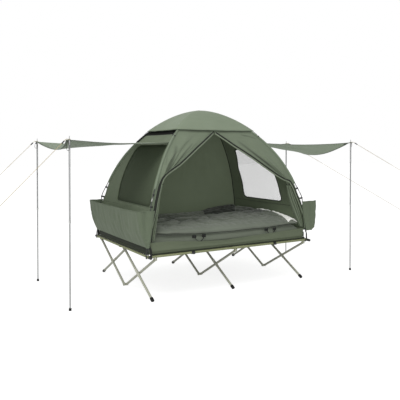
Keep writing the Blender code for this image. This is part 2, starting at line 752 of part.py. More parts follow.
def awning_point(side, u, v):
    """A point on an awning: u runs from the tent to the hem, and v from front to back."""
    sign = -1 if side == "left" else 1
    share = share_at(HEADER_Z)
    front, back = Vector(POLES[f"{side}_front"]), Vector(POLES[f"{side}_back"])
    header_x = sign * (share * CORNER_X + HEADER_OUT)
    header_y = share * CORNER_Y - HEADER_IN
    outer = front.lerp(back, v)
    inside = min(1.0, max(0.0, (v - 0.04) / 0.92))
    hang = 4 * inside * (1 - inside)
    grow_x, grow_y = CORNER_GROW
    x = outer.x - sign * HEM_DRAW * hang
    x = header_x * (1 - u) + x * u * (1 + grow_x * u * (1 - hang))
    y = header_y * (2 * v - 1) * (1 - u) + outer.y * u * (1 + grow_y * abs(2 * v - 1) ** 6)
    z = HEADER_Z + (POLE_Z - HEADER_Z) * u - AWNING_SAG[side] * hang * u ** 1.6
    z -= EDGE_DROOP * math.sin(math.pi * u) * (1 - hang)
    z += RIPPLE * math.sin(9 * math.pi * v) * math.sin(math.pi * u) ** 2
    return (x, y, z)


def make_awnings():
    """A canopy at each end, from the tent's wall to its two poles, with its outer hem hanging."""
    across = [0, 0.035, *spread(0.1, 0.9, 9), 0.965, 1]
    for side in ("left", "right"):
        rows = [[awning_point(side, u, v) for u in spread(0, 1, 10)] for v in across]
        sheet = place("sheet", panel_mesh("sheet", rows, flip=side == "right"), CANVAS_LIGHT)
        thicken(sheet, CLOTH, 0.0)
        solid = evaluated(sheet)
        eyelets = []
        for end in ("front", "back"):
            x, y = POLES[f"{side}_{end}"]
            low, high = (x, y, POLE_Z - SPIKE_RISE), (x, y, POLE_Z + SPIKE_RISE)
            eyelets.append(rod_mesh(low, high, EYELET_RADIUS, 10))
        place(f"awning_{side}", joined(solid, eyelets, "DIFFERENCE"), CANVAS_LIGHT)


def cord_route(spot):
    """The guy line's path: round the pole's spike, out along its way, and back on itself in a loop."""
    way = Vector(CORD_WAY[spot.split("_")[0]])
    flat = Vector((way.x, way.y, 0)).normalized()
    across = Vector((-flat.y, flat.x, 0))
    centre = Vector((*POLES[spot], POLE_Z + RING_RISE))
    points = []
    for degrees in spread(-110, -360, 9):
        angle = math.radians(degrees)
        points.append(centre + RING_RADIUS * (flat * math.cos(angle) + across * math.sin(angle)))
    points.append(centre + flat * 0.016 + across * 0.0035)
    start = centre + flat * CORD_START
    end = start + way * CORD_RUN[spot]
    points += [start.lerp(end, share) for share in spread(0, 1, 13)]
    along = way.normalized()
    for k in range(1, 12):
        angle = 2 * math.pi * k / 12.6
        forward = LOOP_LENGTH / 2 * (1 - math.cos(angle)) + KNOT_RADIUS
        points.append(end + along * forward + across * (LOOP_HALF * math.sin(angle)))
    return points, start, end, along


def runner_mesh():
    """A flat block with the cord's bore along it and a cross slot where the cord bites."""
    x, y, z = RUNNER_HALF
    block = box_mesh((-x, -y, -z), (x, y, z))
    bore = rod_mesh((-2 * x, 0, 0), (2 * x, 0, 0), CORD_RADIUS + RUNNER_FIT, 10)
    slot_x = x - y
    slot = rod_mesh((slot_x, -2 * y, 0), (slot_x, 2 * y, 0), 0.0015, 8)
    return joined(block, [bore, slot], "DIFFERENCE")


def make_guy_lines():
    """Guy lines that end in a knotted loop, and the runner that slides on each."""
    lines, runners = {}, {}
    for spot in POLES:
        points, start, end, along = cord_route(spot)
        cord = evaluated(tube("cord", points, CORD_RADIUS, 2))
        bm = bmesh.new()
        bm.from_mesh(cord)
        bmesh.ops.remove_doubles(bm, verts=bm.verts, dist=0.00001)
        bmesh.ops.recalc_face_normals(bm, faces=bm.faces)
        bm.to_mesh(cord)
        bm.free()
        knot = rod_mesh(end - along * 0.007, end + along * 0.0075, KNOT_RADIUS, 8)
        cord = joined(cord, [knot], "UNION")
        lines[spot] = place(f"guy_line_{spot}", cord, CORD, 0.9, sharp=60)
        turn = along.to_track_quat("X", "Z").to_matrix().to_4x4()
        runner = runner_mesh()
        runner.transform(Matrix.Translation(start + along * RUNNER_AT) @ turn)
        runners[spot] = place(f"runner_{spot}", runner, BLACK, 0.5)
    return lines, runners


def make_awning_poles():
    """Steel poles in two sections, with a spike through the awning's corner and a foot."""
    poles = {}
    upper_radius, upper_low = UPPER_TUBE
    lower_radius, lower_high = LOWER_TUBE
    foot_radius, foot_high = POLE_FOOT
    for spot, (x, y) in POLES.items():
        lower = rod_mesh((x, y, 0), (x, y, lower_high), lower_radius, 12)
        adds = [
            rod_mesh((x, y, upper_low), (x, y, POLE_Z - SHOULDER), upper_radius, 12),
            rod_mesh((x, y, POLE_Z - 2 * SHOULDER), (x, y, POLE_Z + SPIKE_RISE), SPIKE_RADIUS, 10),
            rod_mesh((x, y, 0), (x, y, foot_high), foot_radius, 12),
        ]
        pole = joined(lower, adds, "UNION")
        poles[spot] = place(f"awning_pole_{spot}", pole, STEEL_GREY, 0.35, 0.8)
    return poles


def main():
    """Builds every sub-part and hangs the moving ones from empties on their joints."""
    for item in list(bpy.data.objects):
        bpy.data.objects.remove(item)
    legs = make_legs()
    rails = make_rails()
    make_end_bars()
    make_bed()
    make_walls()
    make_cap()
    make_arch_poles()
    make_pockets()
    make_curtains()
    make_mattress()
    make_bag()
    make_awnings()
    poles = make_awning_poles()
    lines, runners = make_guy_lines()
    for half, sign in (("front", -1), ("back", 1)):
        crossing = (0, sign * SIDE_Y / 2, (PIVOT_Z + FOOT_Z) / 2)
        axis_empty(f"axis_legs_{half}_outer", (0, 0, PIVOT_Z), legs[f"{half}_outer"])
        axis_empty(f"axis_legs_{half}_inner", crossing, legs[f"{half}_inner"])
        axis_empty(f"axis_rail_{half}", (0, sign * SIDE_Y, PIVOT_Z), rails[half])
    for spot, (x, y) in POLES.items():
        axis_empty(f"axis_pole_{spot}", (x, y, POLE_Z), [poles[spot]])
        axis_empty(f"axis_line_{spot}", (x, y, POLE_Z), [lines[spot]])
        axis_empty(f"axis_runner_{spot}", (x, y, POLE_Z), [runners[spot]])


main()
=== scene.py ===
"""Looks of the tent cot: the cloth, cords, bedding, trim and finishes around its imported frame."""

import logging
import math
from dataclasses import dataclass, field
from enum import Enum
from typing import Callable, Iterable, Sequence

import bpy
import numpy as np
from mathutils import Matrix, Vector, noise


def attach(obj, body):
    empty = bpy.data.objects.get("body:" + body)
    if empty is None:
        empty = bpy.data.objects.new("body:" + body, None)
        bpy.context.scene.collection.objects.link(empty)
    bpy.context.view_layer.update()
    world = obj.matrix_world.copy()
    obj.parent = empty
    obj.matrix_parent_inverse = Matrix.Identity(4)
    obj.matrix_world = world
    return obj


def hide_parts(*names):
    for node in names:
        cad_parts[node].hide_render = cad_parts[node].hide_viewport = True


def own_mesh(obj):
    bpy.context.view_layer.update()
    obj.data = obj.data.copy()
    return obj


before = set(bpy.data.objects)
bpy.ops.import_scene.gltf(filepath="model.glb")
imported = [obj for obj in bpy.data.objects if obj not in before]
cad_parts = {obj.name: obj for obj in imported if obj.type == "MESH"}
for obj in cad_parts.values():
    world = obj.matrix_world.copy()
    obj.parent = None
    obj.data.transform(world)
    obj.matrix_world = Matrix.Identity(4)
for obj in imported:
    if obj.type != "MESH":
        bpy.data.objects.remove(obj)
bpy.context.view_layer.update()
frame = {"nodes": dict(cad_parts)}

log = logging.getLogger("tent_cot")

Point = Sequence[float]
WAVE_LENGTH = 0.3142
SPOTS = ("left_front", "left_back", "right_front", "right_back")


class Side(Enum):
    """An end of the bed."""

    LEFT = -1
    RIGHT = 1

    @property
    def word(self) -> str:
        """The side's name in the frame."""
        return self.name.lower()


# Finishes


def linear(code: str) -> tuple[float, float, float, float]:
    """The linear colour of an sRGB hex code.

    Args:
        code: Six hex digits.

    Returns:
        Red, green, blue and alpha.
    """
    values = [int(code[i:i + 2], 16) / 255 for i in (0, 2, 4)]
    red, green, blue = (v / 12.92 if v <= 0.04045 else ((v + 0.055) / 1.055) ** 2.4 for v in values)
    return red, green, blue, 1.0


def add(tree: bpy.types.NodeTree, kind: str, inputs: dict | None = None, **settings) -> bpy.types.Node:
    """Adds a shader node with its settings and links.

    Args:
        tree: The material's node tree.
        kind: The node's type, without its ShaderNode prefix.
        inputs: A value or an output socket for each input, by name or number.
        **settings: The node's own properties.

    Returns:
        The node.
    """
    made = tree.nodes.new(f"ShaderNode{kind}")
    for name, value in settings.items():
        setattr(made, name, value)
    for key, value in (inputs or {}).items():
        if isinstance(value, bpy.types.NodeSocket):
            tree.links.new(value, made.inputs[key])
        else:
            made.inputs[key].default_value = value
    return made


def principled(name: str, sockets: dict) -> tuple[bpy.types.Material, bpy.types.NodeTree, bpy.types.Node]:
    """A new material with its Principled shader set.

    Args:
        name: The material's name.
        sockets: A plain value for each of the shader's sockets that has one.

    Returns:
        The material, its node tree and its shader.
    """
    made = bpy.data.materials.new(name)
    made.use_nodes = True
    shader = made.node_tree.nodes["Principled BSDF"]
    for key, value in sockets.items():
        shader.inputs[key].default_value = value
    return made, made.node_tree, shader


@dataclass(frozen=True)
class Cloth:
    """Woven cloth: threads both ways, slack creases, and colour that drifts with them.

    The threads run on the piece's UV map, in metres of cloth. Real threads are 0.1 to 0.3 mm
    apart, which no picture of a whole tent shows, so thread_mm is drawn coarser. Thin cloth lets
    daylight through from its other side: through paints that light as an even faint glow, an
    emission that brightens the cloth whatever lights it.
    """

    name: str
    colour: str
    shade: str
    thread_mm: float = 4.0
    crease_mm: float = 90.0
    crease_depth_mm: float = 1.6
    roughness: float = 0.78
    sheen: float = 0.12
    stretch: tuple[float, float, float] = (1.0, 1.0, 1.0)
    # dark: a colour of painted shade, mixed in where the mesh's tone attribute asks for it
    dark: str = ""
    # through: painted light, an even emission glow that stands in for daylight through the cloth
    through: float = 0.17

    def material(self) -> bpy.types.Material:
        """The cloth's material; where it has a dark, the mesh's tone attribute mixes that in as painted
        shade, and through gives it a painted glow.
        """
        sockets = {
            "Roughness": self.roughness, "Sheen Weight": self.sheen, "Sheen Roughness": 0.45,
            "Emission Color": linear(self.colour), "Emission Strength": self.through,
        }
        made, tree, shader = principled(self.name, {**sockets, "Specular IOR Level": 0.25})
        on_cloth = add(tree, "TexCoord").outputs["UV"]
        pitch = WAVE_LENGTH / (self.thread_mm / 1000)
        threads = [
            add(tree, "TexWave", {"Vector": on_cloth, "Scale": pitch}, bands_direction=way).outputs["Fac"]
            for way in "XY"
        ]
        weave = add(tree, "Math", {0: threads[0], 1: threads[1]}, operation="MAXIMUM")
        pulled = add(tree, "Mapping", {"Vector": on_cloth, "Scale": self.stretch})
        creases = add(tree, "TexNoise", {
            "Vector": pulled.outputs[0], "Scale": 1000 / self.crease_mm, "Detail": 5.0,
            "Roughness": 0.5, "Distortion": 0.35,
        })
        drift = add(tree, "TexNoise", {"Vector": on_cloth, "Scale": 2.2, "Detail": 2.0})
        level = add(tree, "MapRange", {"Value": drift.outputs["Fac"], "From Min": 0.35, "From Max": 0.65})
        sum_of = add(tree, "Math", {0: level.outputs[0], 1: creases.outputs["Fac"]}, operation="MULTIPLY")
        colour = add(tree, "Mix", {
            0: sum_of.outputs[0], 6: linear(self.colour), 7: linear(self.shade),
        }, data_type="RGBA")
        if self.dark:
            tone = add(tree, "Attribute", attribute_name="tone")
            colour = add(tree, "Mix", {
                0: tone.outputs["Fac"], 6: colour.outputs[2], 7: linear(self.dark),
            }, data_type="RGBA")
        fine = add(tree, "Bump", {"Height": weave.outputs[0], "Strength": 0.25, "Distance": 0.0005})
        relief = add(tree, "Bump", {
            "Height": creases.outputs["Fac"], "Strength": 0.8, "Distance": self.crease_depth_mm / 1000,
            "Normal": fine.outputs[0],
        })
        tree.links.new(colour.outputs[2], shader.inputs["Base Color"])
        tree.links.new(relief.outputs[0], shader.inputs["Normal"])
        return made


@dataclass(frozen=True)
class Netting:
    """Knitted mosquito mesh: round holes in a dark yarn, 1.2 mm apart and drawn at mesh_mm. The sheet is
    opaque, and the hole colour is painted shade: the dark inside of the tent as seen through the holes.
    """

    name: str
    yarn: str
    hole: str
    mesh_mm: float = 5.0

    def material(self) -> bpy.types.Material:
        """The netting's material."""
        made, tree, shader = principled(self.name, {"Roughness": 0.85, "Specular IOR Level": 0.2})
        on_cloth = add(tree, "TexCoord").outputs["UV"]
        holes = add(tree, "TexVoronoi", {
            "Vector": on_cloth, "Scale": 1000 / self.mesh_mm, "Randomness": 0.15,
        }, feature="F1")
        drift = add(tree, "TexNoise", {"Vector": on_cloth, "Scale": 3.0})
        edge = add(tree, "Math", {0: holes.outputs["Distance"], 1: drift.outputs["Fac"]},
                   operation="MULTIPLY")
        colour = add(tree, "Mix", {
            0: edge.outputs[0], 6: linear(self.hole), 7: linear(self.yarn),
        }, data_type="RGBA")
        relief = add(tree, "Bump", {
            "Height": holes.outputs["Distance"], "Strength": 0.3, "Distance": 0.0006,
        })
        tree.links.new(colour.outputs[2], shader.inputs["Base Color"])
        tree.links.new(relief.outputs[0], shader.inputs["Normal"])
        return made


@dataclass(frozen=True)
class Coating:
    """A hard surface with a fine grain: powder coat, moulded nylon, rubber, film or drawn metal.

    grain_mm is the size of the coat's orange peel or the mould's texture.
    """

    name: str
    colour: str
    worn: str
    grain_mm: float
    roughness: float
    metallic: float = 0.0
    relief_mm: float = 0.05
    specular: float = 0.5
    alpha: float = 1.0
    along: tuple[float, float, float] = (1.0, 1.0, 1.0)

    def material(self) -> bpy.types.Material:
        """The coating's material."""
        made, tree, shader = principled(self.name, {
            "Metallic": self.metallic, "Specular IOR Level": self.specular, "Alpha": self.alpha,
        })
        spot = add(tree, "TexCoord").outputs["Object"]
        drawn = add(tree, "Mapping", {"Vector": spot, "Scale": self.along})
        grain = add(tree, "TexNoise", {"Vector": drawn.outputs[0], "Scale": 1000 / self.grain_mm,
                                       "Detail": 3.0})
        scuffs = add(tree, "TexNoise", {"Vector": drawn.outputs[0], "Scale": 14.0, "Detail": 6.0,
                                        "Roughness": 0.7})
        wear = add(tree, "MapRange", {"Value": scuffs.outputs["Fac"], "From Min": 0.5, "From Max": 0.72})
        colour = add(tree, "Mix", {
            0: wear.outputs[0], 6: linear(self.colour), 7: linear(self.worn),
        }, data_type="RGBA")
        gloss = add(tree, "MapRange", {
            "Value": scuffs.outputs["Fac"], "To Min": self.roughness - 0.08, "To Max": self.roughness + 0.1,
        })
        relief = add(tree, "Bump", {
            "Height": grain.outputs["Fac"], "Strength": 0.4, "Distance": self.relief_mm / 1000,
        })
        tree.links.new(colour.outputs[2], shader.inputs["Base Color"])
        tree.links.new(gloss.outputs[0], shader.inputs["Roughness"])
        tree.links.new(relief.outputs[0], shader.inputs["Normal"])
        return made


@dataclass(frozen=True)
class Braid:
    """Braided polyester cord: slanting strands round it, on its UV map in metres."""

    name: str
    colour: str
    groove: str
    strand_mm: float = 2.4

    def material(self) -> bpy.types.Material:
        """The cord's material."""
        made, tree, shader = principled(self.name, {"Roughness": 0.8, "Sheen Weight": 0.2})
        along = add(tree, "TexCoord").outputs["UV"]
        pitch = WAVE_LENGTH / (self.strand_mm / 1000)
        strands = [
            add(tree, "TexWave", {
                "Vector": add(tree, "Mapping", {"Vector": along, "Rotation": (0, 0, turn)}).outputs[0],
                "Scale": pitch,
            }, bands_direction="X").outputs["Fac"]
            for turn in (math.radians(35), math.radians(-35))
        ]
        braid = add(tree, "Math", {0: strands[0], 1: strands[1]}, operation="MULTIPLY")
        colour = add(tree, "Mix", {
            0: braid.outputs[0], 6: linear(self.groove), 7: linear(self.colour),
        }, data_type="RGBA")
        relief = add(tree, "Bump", {"Height": braid.outputs[0], "Strength": 0.5, "Distance": 0.0004})
        tree.links.new(colour.outputs[2], shader.inputs["Base Color"])
        tree.links.new(relief.outputs[0], shader.inputs["Normal"])
        return made


# Polyester taffeta with a polyurethane coat on its back, plain woven: matt, with a faint sheen
# These are copies of that one cloth. Their colours and glow differ by where they hang, as painted light and
# shade: lighter on the roof cap, awnings and door curtains, darker on the back wall, ends and pockets. The
# front's near-black dark paints the shade in its deep folds and under the cap's hem.
CANVAS_FRONT = Cloth("polyester_taffeta_front", "78836f", "6a7561", stretch=(1.0, 2.6, 1.0), dark="0a0e08")
CANVAS_CAP = Cloth("polyester_taffeta_roof", "87937e", "78846f", stretch=(0.7, 2.4, 1.0))
CANVAS_DARK = Cloth("polyester_taffeta_walls", "747f69", "68735d", stretch=(1.0, 0.6, 1.0))
CANVAS_END = Cloth("polyester_taffeta_ends", "6c7761", "5c6752", stretch=(0.8, 1.6, 1.0))
# The same cloth on the end away from the lamps, through which less daylight comes: a darker colour and a
# weaker glow paint that shade.
CANVAS_SHADED_END = Cloth("polyester_taffeta_far_end", "66715b", "565f4c", stretch=(0.8, 1.6, 1.0), through=0.08)
CANVAS_HEM = Cloth("polyester_taffeta_hem", "6f7b67", "616d59", crease_mm=40.0, crease_depth_mm=0.6)
CANVAS_SLEEVE = Cloth("polyester_taffeta_sleeve", "7f8b77", "707c68", crease_mm=35.0, crease_depth_mm=1.0)
# The curtains' dark paints the shade in the valleys between their pleats.
CANVAS_CURTAIN = Cloth("polyester_taffeta_door", "8a967f", "788570", crease_depth_mm=1.4,
                       stretch=(2.4, 0.8, 1.0),
                       dark="333c2c", through=0.07)
CANVAS_AWNING = Cloth("polyester_taffeta_awning", "85917e", "737f6c", crease_depth_mm=2.2,
                      stretch=(0.6, 2.0, 1.0),
                      through=0.20)
# The same awning cloth with a stronger glow, for the right awning: painted light.
CANVAS_LIT = Cloth("polyester_taffeta_awning_lit", "85917e", "737f6c", crease_depth_mm=2.2,
                   stretch=(0.6, 2.0, 1.0),
                   through=0.46)
CANVAS_POCKET = Cloth("polyester_taffeta_pocket", "6c7763", "58634f", crease_depth_mm=2.4,
                      stretch=(2.2, 0.7, 1.0))
# Dense 600 denier polyester, dark green, stretched over the rails
BED_CANVAS = Cloth("polyester_600_denier_bed", "272d20", "1e2419", thread_mm=6.0, roughness=0.85)
# Reinforced floor cloth, thicker and a little glossier
TRAY_CANVAS = Cloth("coated_oxford_floor", "69725d", "58614d", thread_mm=6.0, roughness=0.62, sheen=0.05)
# Opaque netting: the hole colours paint the shade of the tent's inside seen through it.
MESH = Netting("polyester_mosquito_mesh", "667059", "4f5947")
VENT_MESH = Netting("polyester_vent_mesh", "20241c", "101210")
# Brushed polyester shell over hollow fibre, with small dents from the stuffing
# Its dark is mostly painted shade in the creases and towards the back, with some of the bag's dark inner
# cloth.
QUILT = Cloth("brushed_polyester_quilt", "7b8275", "63695d", crease_mm=45.0, crease_depth_mm=4.0, sheen=0.3,
              dark="262b24", through=0.09)
# Drawn as the hood's dark inner cloth, this dark sheet over the bag's back right also paints the shade there.
HOOD_AND_SHADE = Cloth("taffeta_hood_dark", "2c302a", "20241f", crease_mm=40.0, crease_depth_mm=3.0, sheen=0.2)
# Its strong glow is painted light on the pale cloth.
LINING = Cloth("brushed_cotton_lining", "efefea", "e2e2dc", crease_mm=60.0, crease_depth_mm=3.0, sheen=0.25,
               through=0.34)
# PVC with a flocked top: short fibres scatter the light
FLOCK = Cloth("flocked_pvc", "6b7264", "5b6255", thread_mm=3.0, crease_mm=30.0, crease_depth_mm=1.2,
              sheen=0.4)
WEBBING = Cloth("polypropylene_webbing_black", "1d1f1c", "2b2d29", thread_mm=3.0, roughness=0.7)
TAPE = Cloth("polyester_binding_dark", "353d2f", "2a3126", thread_mm=3.0)
HEM = Cloth("polyester_binding_olive", "5a6356", "4c5448", thread_mm=3.0, crease_depth_mm=0.5)
ZIP = Cloth("coil_zip_tape_black", "1b1e18", "2b2f27", thread_mm=5.0, crease_depth_mm=0.2, roughness=0.6)
PIPING = Cloth("polyester_piping_light", "7f8a75", "717c67", thread_mm=3.0)
# Frosted vinyl window, which lets the daylight through
FILM = Coating("frosted_vinyl_film", "e2e2e4", "dadadd", 8.0, 0.4, alpha=0.28, specular=0.3)
# Powder-coated steel tube: a fine orange peel, worn a little paler
RAIL_PAINT = Coating("powder_coat_rail", "9aa078", "a8ad88", 1.6, 0.55, specular=0.3)
LEG_PAINT = Coating("powder_coat_leg", "c6c8b6", "d0d1c1", 1.6, 0.5, specular=0.35)
PLATE_PAINT = Coating("powder_coat_bracket", "d6d7c6", "dedfd0", 1.6, 0.45)
POLE_STEEL = Coating("galvanised_steel_tube", "9b9c9c", "b3b4b4", 2.5, 0.38, metallic=0.55, along=(1, 1, 0.1))
DARK_STEEL = Coating("phosphated_steel_ferrule", "4a4d4c", "5a5d5c", 1.5, 0.42, metallic=0.5)
SPRING_STEEL = Coating("zinc_plated_steel", "a7a8a6", "bcbdbb", 1.5, 0.3, metallic=0.9)
FIBREGLASS = Coating("pultruded_fibreglass", "3a3e3d", "4a4e4d", 1.2, 0.4, along=(1, 1, 0.2))
NYLON = Coating("moulded_nylon_black", "191a18", "2a2b28", 1.0, 0.48)
NYLON_GREEN = Coating("moulded_nylon_green", "4e5645", "454d3d", 1.0, 0.52)
RUBBER = Coating("thermoplastic_rubber_black", "1a1b19", "2b2c29", 1.4, 0.72, specular=0.3)
# Three-strand look of a 4 mm braided guy cord, cream
CORD = Braid("braided_polyester_cord", "e6d6a8", "c8b483")


class Wardrobe:
    """Makes each finish's material once and hands it out."""

    def __init__(self) -> None:
        """Starts with no materials made."""
        self.made: dict[str, bpy.types.Material] = {}

    def of(self, finish: Cloth | Netting | Coating | Braid) -> bpy.types.Material:
        """The material of a finish.

        Args:
            finish: The finish.

        Returns:
            Its material, the same one each time.
        """
        if finish.name not in self.made:
            self.made[finish.name] = finish.material()
        return self.made[finish.name]


WARDROBE = Wardrobe()


# Meshes


def spread(low: float, high: float, count: int) -> list[float]:
    """Evenly spaced values, both ends included."""
    return [low + (high - low) * k / (count - 1) for k in range(count)]


def between(value: float, stops: Sequence[tuple[float, float]]) -> float:
    """Smooth interpolation in (key, value) stops, sorted by key.

    Args:
        value: Where to read.
        stops: The keys and their values.

    Returns:
        The value there, held past both ends.
    """
    return float(np.interp(value, [k for k, _ in stops], [v for _, v in stops]))


def select_only(part: bpy.types.Object) -> None:
    """Makes a piece the only selected one, and the active one."""
    bpy.ops.object.select_all(action="DESELECT")
    part.select_set(True)
    bpy.context.view_layer.objects.active = part


def apply_all(part: bpy.types.Object) -> bpy.types.Object:
    """Applies a piece's modifiers in turn and returns the piece."""
    select_only(part)
    for step in list(part.modifiers):
        bpy.ops.object.modifier_apply(modifier=step.name)
    return part


def mesh_piece(name: str, points: Sequence[Point], faces: Sequence[Sequence[int]],
               flat: Sequence[tuple[float, float]]) -> bpy.types.Object:
    """A smooth piece, with a UV map in metres.

    Args:
        name: The piece's name.
        points: Its vertices.
        faces: The vertices round each face.
        flat: The place of each face's corners in turn on the flat cloth.

    Returns:
        The piece.
    """
    mesh = bpy.data.meshes.new(name)
    mesh.from_pydata(points, [], faces)
    layer = mesh.uv_layers.new(name="UVMap")
    layer.data.foreach_set("uv", np.array(flat, np.float32).ravel())
    mesh.shade_smooth()
    piece = bpy.data.objects.new(name, mesh)
    bpy.context.scene.collection.objects.link(piece)
    return piece


def grid_piece(name: str, rows: Sequence[Sequence[Point]], flip: bool = False, closed: bool = False,
               caps: bool = False, first_cap: bool = False, last_cap: bool = False,
               lay: Callable[[Point], tuple[float, float]] | None = None) -> bpy.types.Object:
    """A surface through rows of points, with a UV map in metres of cloth.

    Args:
        name: The piece's name.
        rows: Rows of points, all with the same count.
        flip: Whether the faces look the other way.
        closed: Whether each row closes on itself.
        caps: Whether the first and last rows are both filled.
        first_cap: Whether the first row is filled.
        last_cap: Whether the last row is filled.
        lay: Gives a point's place on the flat cloth, where the rows don't.

    Returns:
        The piece.
    """
    points = np.array([[tuple(p) for p in row] for row in rows], float)
    count, width = points.shape[:2]
    cells = width if closed else width - 1
    looped = np.concatenate([points, points[:, :1]], axis=1) if closed else points
    across = np.linalg.norm(np.diff(looped, axis=1), axis=2).mean(axis=0)
    down = np.linalg.norm(np.diff(points, axis=0), axis=2).mean(axis=1)
    u = np.concatenate([[0.0], np.cumsum(across)])
    v = np.concatenate([[0.0], np.cumsum(down)])
    faces, corners = [], []
    for i in range(count - 1):
        for k in range(cells):
            j = (k + 1) % width
            face = [i * width + k, i * width + j, (i + 1) * width + j, (i + 1) * width + k]
            flat = [(u[k], v[i]), (u[k + 1], v[i]), (u[k + 1], v[i + 1]), (u[k], v[i + 1])]
            faces.append(face[::-1] if flip else face)
            corners.extend(flat[::-1] if flip else flat)
    rings = []
    if caps or first_cap:
        rings.append(list(range(width))[::-1])
    if caps or last_cap:
        rings.append(list(range((count - 1) * width, count * width)))
    for ring in rings:
        faces.append(ring[::-1] if flip else ring)
        corners.extend((0.002 * math.cos(k), 0.002 * math.sin(k)) for k in range(width))
    if lay:
        corners = [lay(points.reshape(-1, 3)[k]) for face in faces for k in face]
    return mesh_piece(name, points.reshape(-1, 3).tolist(), faces, corners)


def thickened(piece: bpy.types.Object, thickness: float, offset: float = -1.0) -> bpy.types.Object:
    """Gives a cloth its thickness, with a closed rim.

    Args:
        piece: An open surface.
        thickness: The cloth's thickness.
        offset: -1 for inwards of its faces, 1 for outwards.

    Returns:
        The piece.
    """
    cloth = piece.modifiers.new("cloth", "SOLIDIFY")
    cloth.thickness = thickness
    cloth.offset = offset
    return apply_all(piece)


def mark_tone(piece: bpy.types.Object, values: Sequence[float]) -> None:
    """Sets how much of its finish's dark each vertex shows, from 0 to 1."""
    piece.data.attributes.new("tone", "FLOAT", "POINT").data.foreach_set("value", values)


def path_frames(points: Sequence[Point]) -> list[tuple[Vector, Vector, Vector]]:
    """A direction and two square vectors at each point of a path, turning as little as possible.

    Args:
        points: The path.

    Returns:
        Direction, side and up at each point.
    """
    spots = [Vector(p) for p in points]
    ways = []
    for k in range(len(spots)):
        ways.append((spots[min(k + 1, len(spots) - 1)] - spots[max(k - 1, 0)]).normalized())
    side = ways[0].cross(Vector((0, 0, 1)))
    if side.length < 0.05:
        side = ways[0].cross(Vector((0, 1, 0)))
    side.normalize()
    frames = []
    for way in ways:
        side = (side - way * side.dot(way)).normalized()
        frames.append((way, side, way.cross(side)))
    return frames


def tube(name: str, points: Sequence[Point], radius: float | Sequence[float], sides: int = 10,
         squeeze: float = 1.0) -> bpy.types.Object:
    """A closed round tube along a path, with a UV map in metres.

    Args:
        name: The piece's name.
        points: The path.
        radius: One radius, or one for each point.
        sides: Faces round it.
        squeeze: The second axis of its section, as a share of the first.

    Returns:
        The piece.
    """
    radii = [radius] * len(points) if isinstance(radius, (int, float)) else radius
    rings = []
    for spot, size, (_, side, up) in zip(points, radii, path_frames(points)):
        turns = [2 * math.pi * k / sides for k in range(sides)]
        rings.append([
            Vector(spot) + side * size * math.cos(a) + up * size * squeeze * math.sin(a) for a in turns
        ])
    return grid_piece(name, rings, closed=True, caps=True)


def strap(name: str, points: Sequence[Point], across: Vector | Sequence[Vector],
          width: float | Sequence[float], thickness: float) -> bpy.types.Object:
    """A flat strap along a path.

    Args:
        name: The piece's name.
        points: The path of its middle.
        across: The direction of its width, one or one for each point.
        width: Its width, one or one for each point.
        thickness: Its thickness.

    Returns:
        The piece.
    """
    sides = [across] * len(points) if isinstance(across, Vector) else across
    widths = [width] * len(points) if isinstance(width, float) else width
    rings = []
    for spot, side, size, (way, _, _) in zip(points, sides, widths, path_frames(points)):
        flat = (side - way * side.dot(way)).normalized()
        up = way.cross(flat)
        corners = ((1, 1), (-1, 1), (-1, -1), (1, -1))
        rings.append([Vector(spot) + flat * a * size / 2 + up * b * thickness / 2 for a, b in corners])
    piece = grid_piece(name, rings, closed=True, caps=True)
    piece.data.set_sharp_from_angle(angle=math.radians(50))
    return piece


def smooth_path(points: Sequence[Point], steps: int = 8) -> list[Vector]:
    """A Catmull-Rom curve through a few points.

    Args:
        points: The points.
        steps: Points from each one to the next.

    Returns:
        The curve's points.
    """
    spots = [Vector(p) for p in points]
    ends = [spots[0] * 2 - spots[1], *spots, spots[-1] * 2 - spots[-2]]
    curve = []
    for a, b, c, d in zip(ends, ends[1:], ends[2:], ends[3:]):
        for k in range(steps):
            t = k / steps
            curve.append((b * 2 + (c - a) * t + (a * 2 - b * 5 + c * 4 - d) * t * t
                          + (b * 3 - a - c * 3 + d) * t ** 3) / 2)
    return [*curve, spots[-1]]


def joined(name: str, parts: Sequence[bpy.types.Object]) -> bpy.types.Object:
    """Joins pieces of one kind into one object, under a name."""
    select_only(parts[0])
    for part in parts:
        part.select_set(True)
    bpy.ops.object.join()
    parts[0].name = name
    parts[0].data.name = name
    return parts[0]


def crumple(spot: Point, size: float, depth: float) -> float:
    """A smooth random height at a point, for wrinkles.

    Args:
        spot: Where.
        size: The wrinkles' size.
        depth: Their height.

    Returns:
        The height there, both ways of zero.
    """
    return depth * noise.noise(Vector(spot) / size)


# Trim that is modelled once and copied


def in_place(piece: bpy.types.Object, name: str) -> bpy.types.Object:
    """Applies a piece's place to its mesh, names it and smooths it."""
    select_only(piece)
    bpy.ops.object.transform_apply(location=True, rotation=True, scale=True)
    bpy.ops.object.shade_smooth_by_angle(angle=math.radians(40))
    piece.name = name
    piece.data.name = name
    return piece


def pick_faces(piece: bpy.types.Object, test: Callable[[Vector, Vector], bool]) -> None:
    """In edit mode, selects the faces whose middle and normal pass a test, and no others.

    Args:
        piece: The piece being edited.
        test: Takes a face's middle and normal.
    """
    bpy.ops.object.mode_set(mode="EDIT")
    bpy.ops.mesh.select_mode(type="FACE")
    bpy.ops.mesh.select_all(action="DESELECT")
    bpy.ops.object.mode_set(mode="OBJECT")
    for face in piece.data.polygons:
        face.select = test(face.center, face.normal)
    bpy.ops.object.mode_set(mode="EDIT")


def rod(radius: float, length: float, sides: int = 20) -> bpy.types.Object:
    """A new upright cylinder at the origin, the only thing selected."""
    bpy.ops.object.select_all(action="DESELECT")
    bpy.ops.mesh.primitive_cylinder_add(vertices=sides, radius=radius, depth=length)
    return bpy.context.active_object


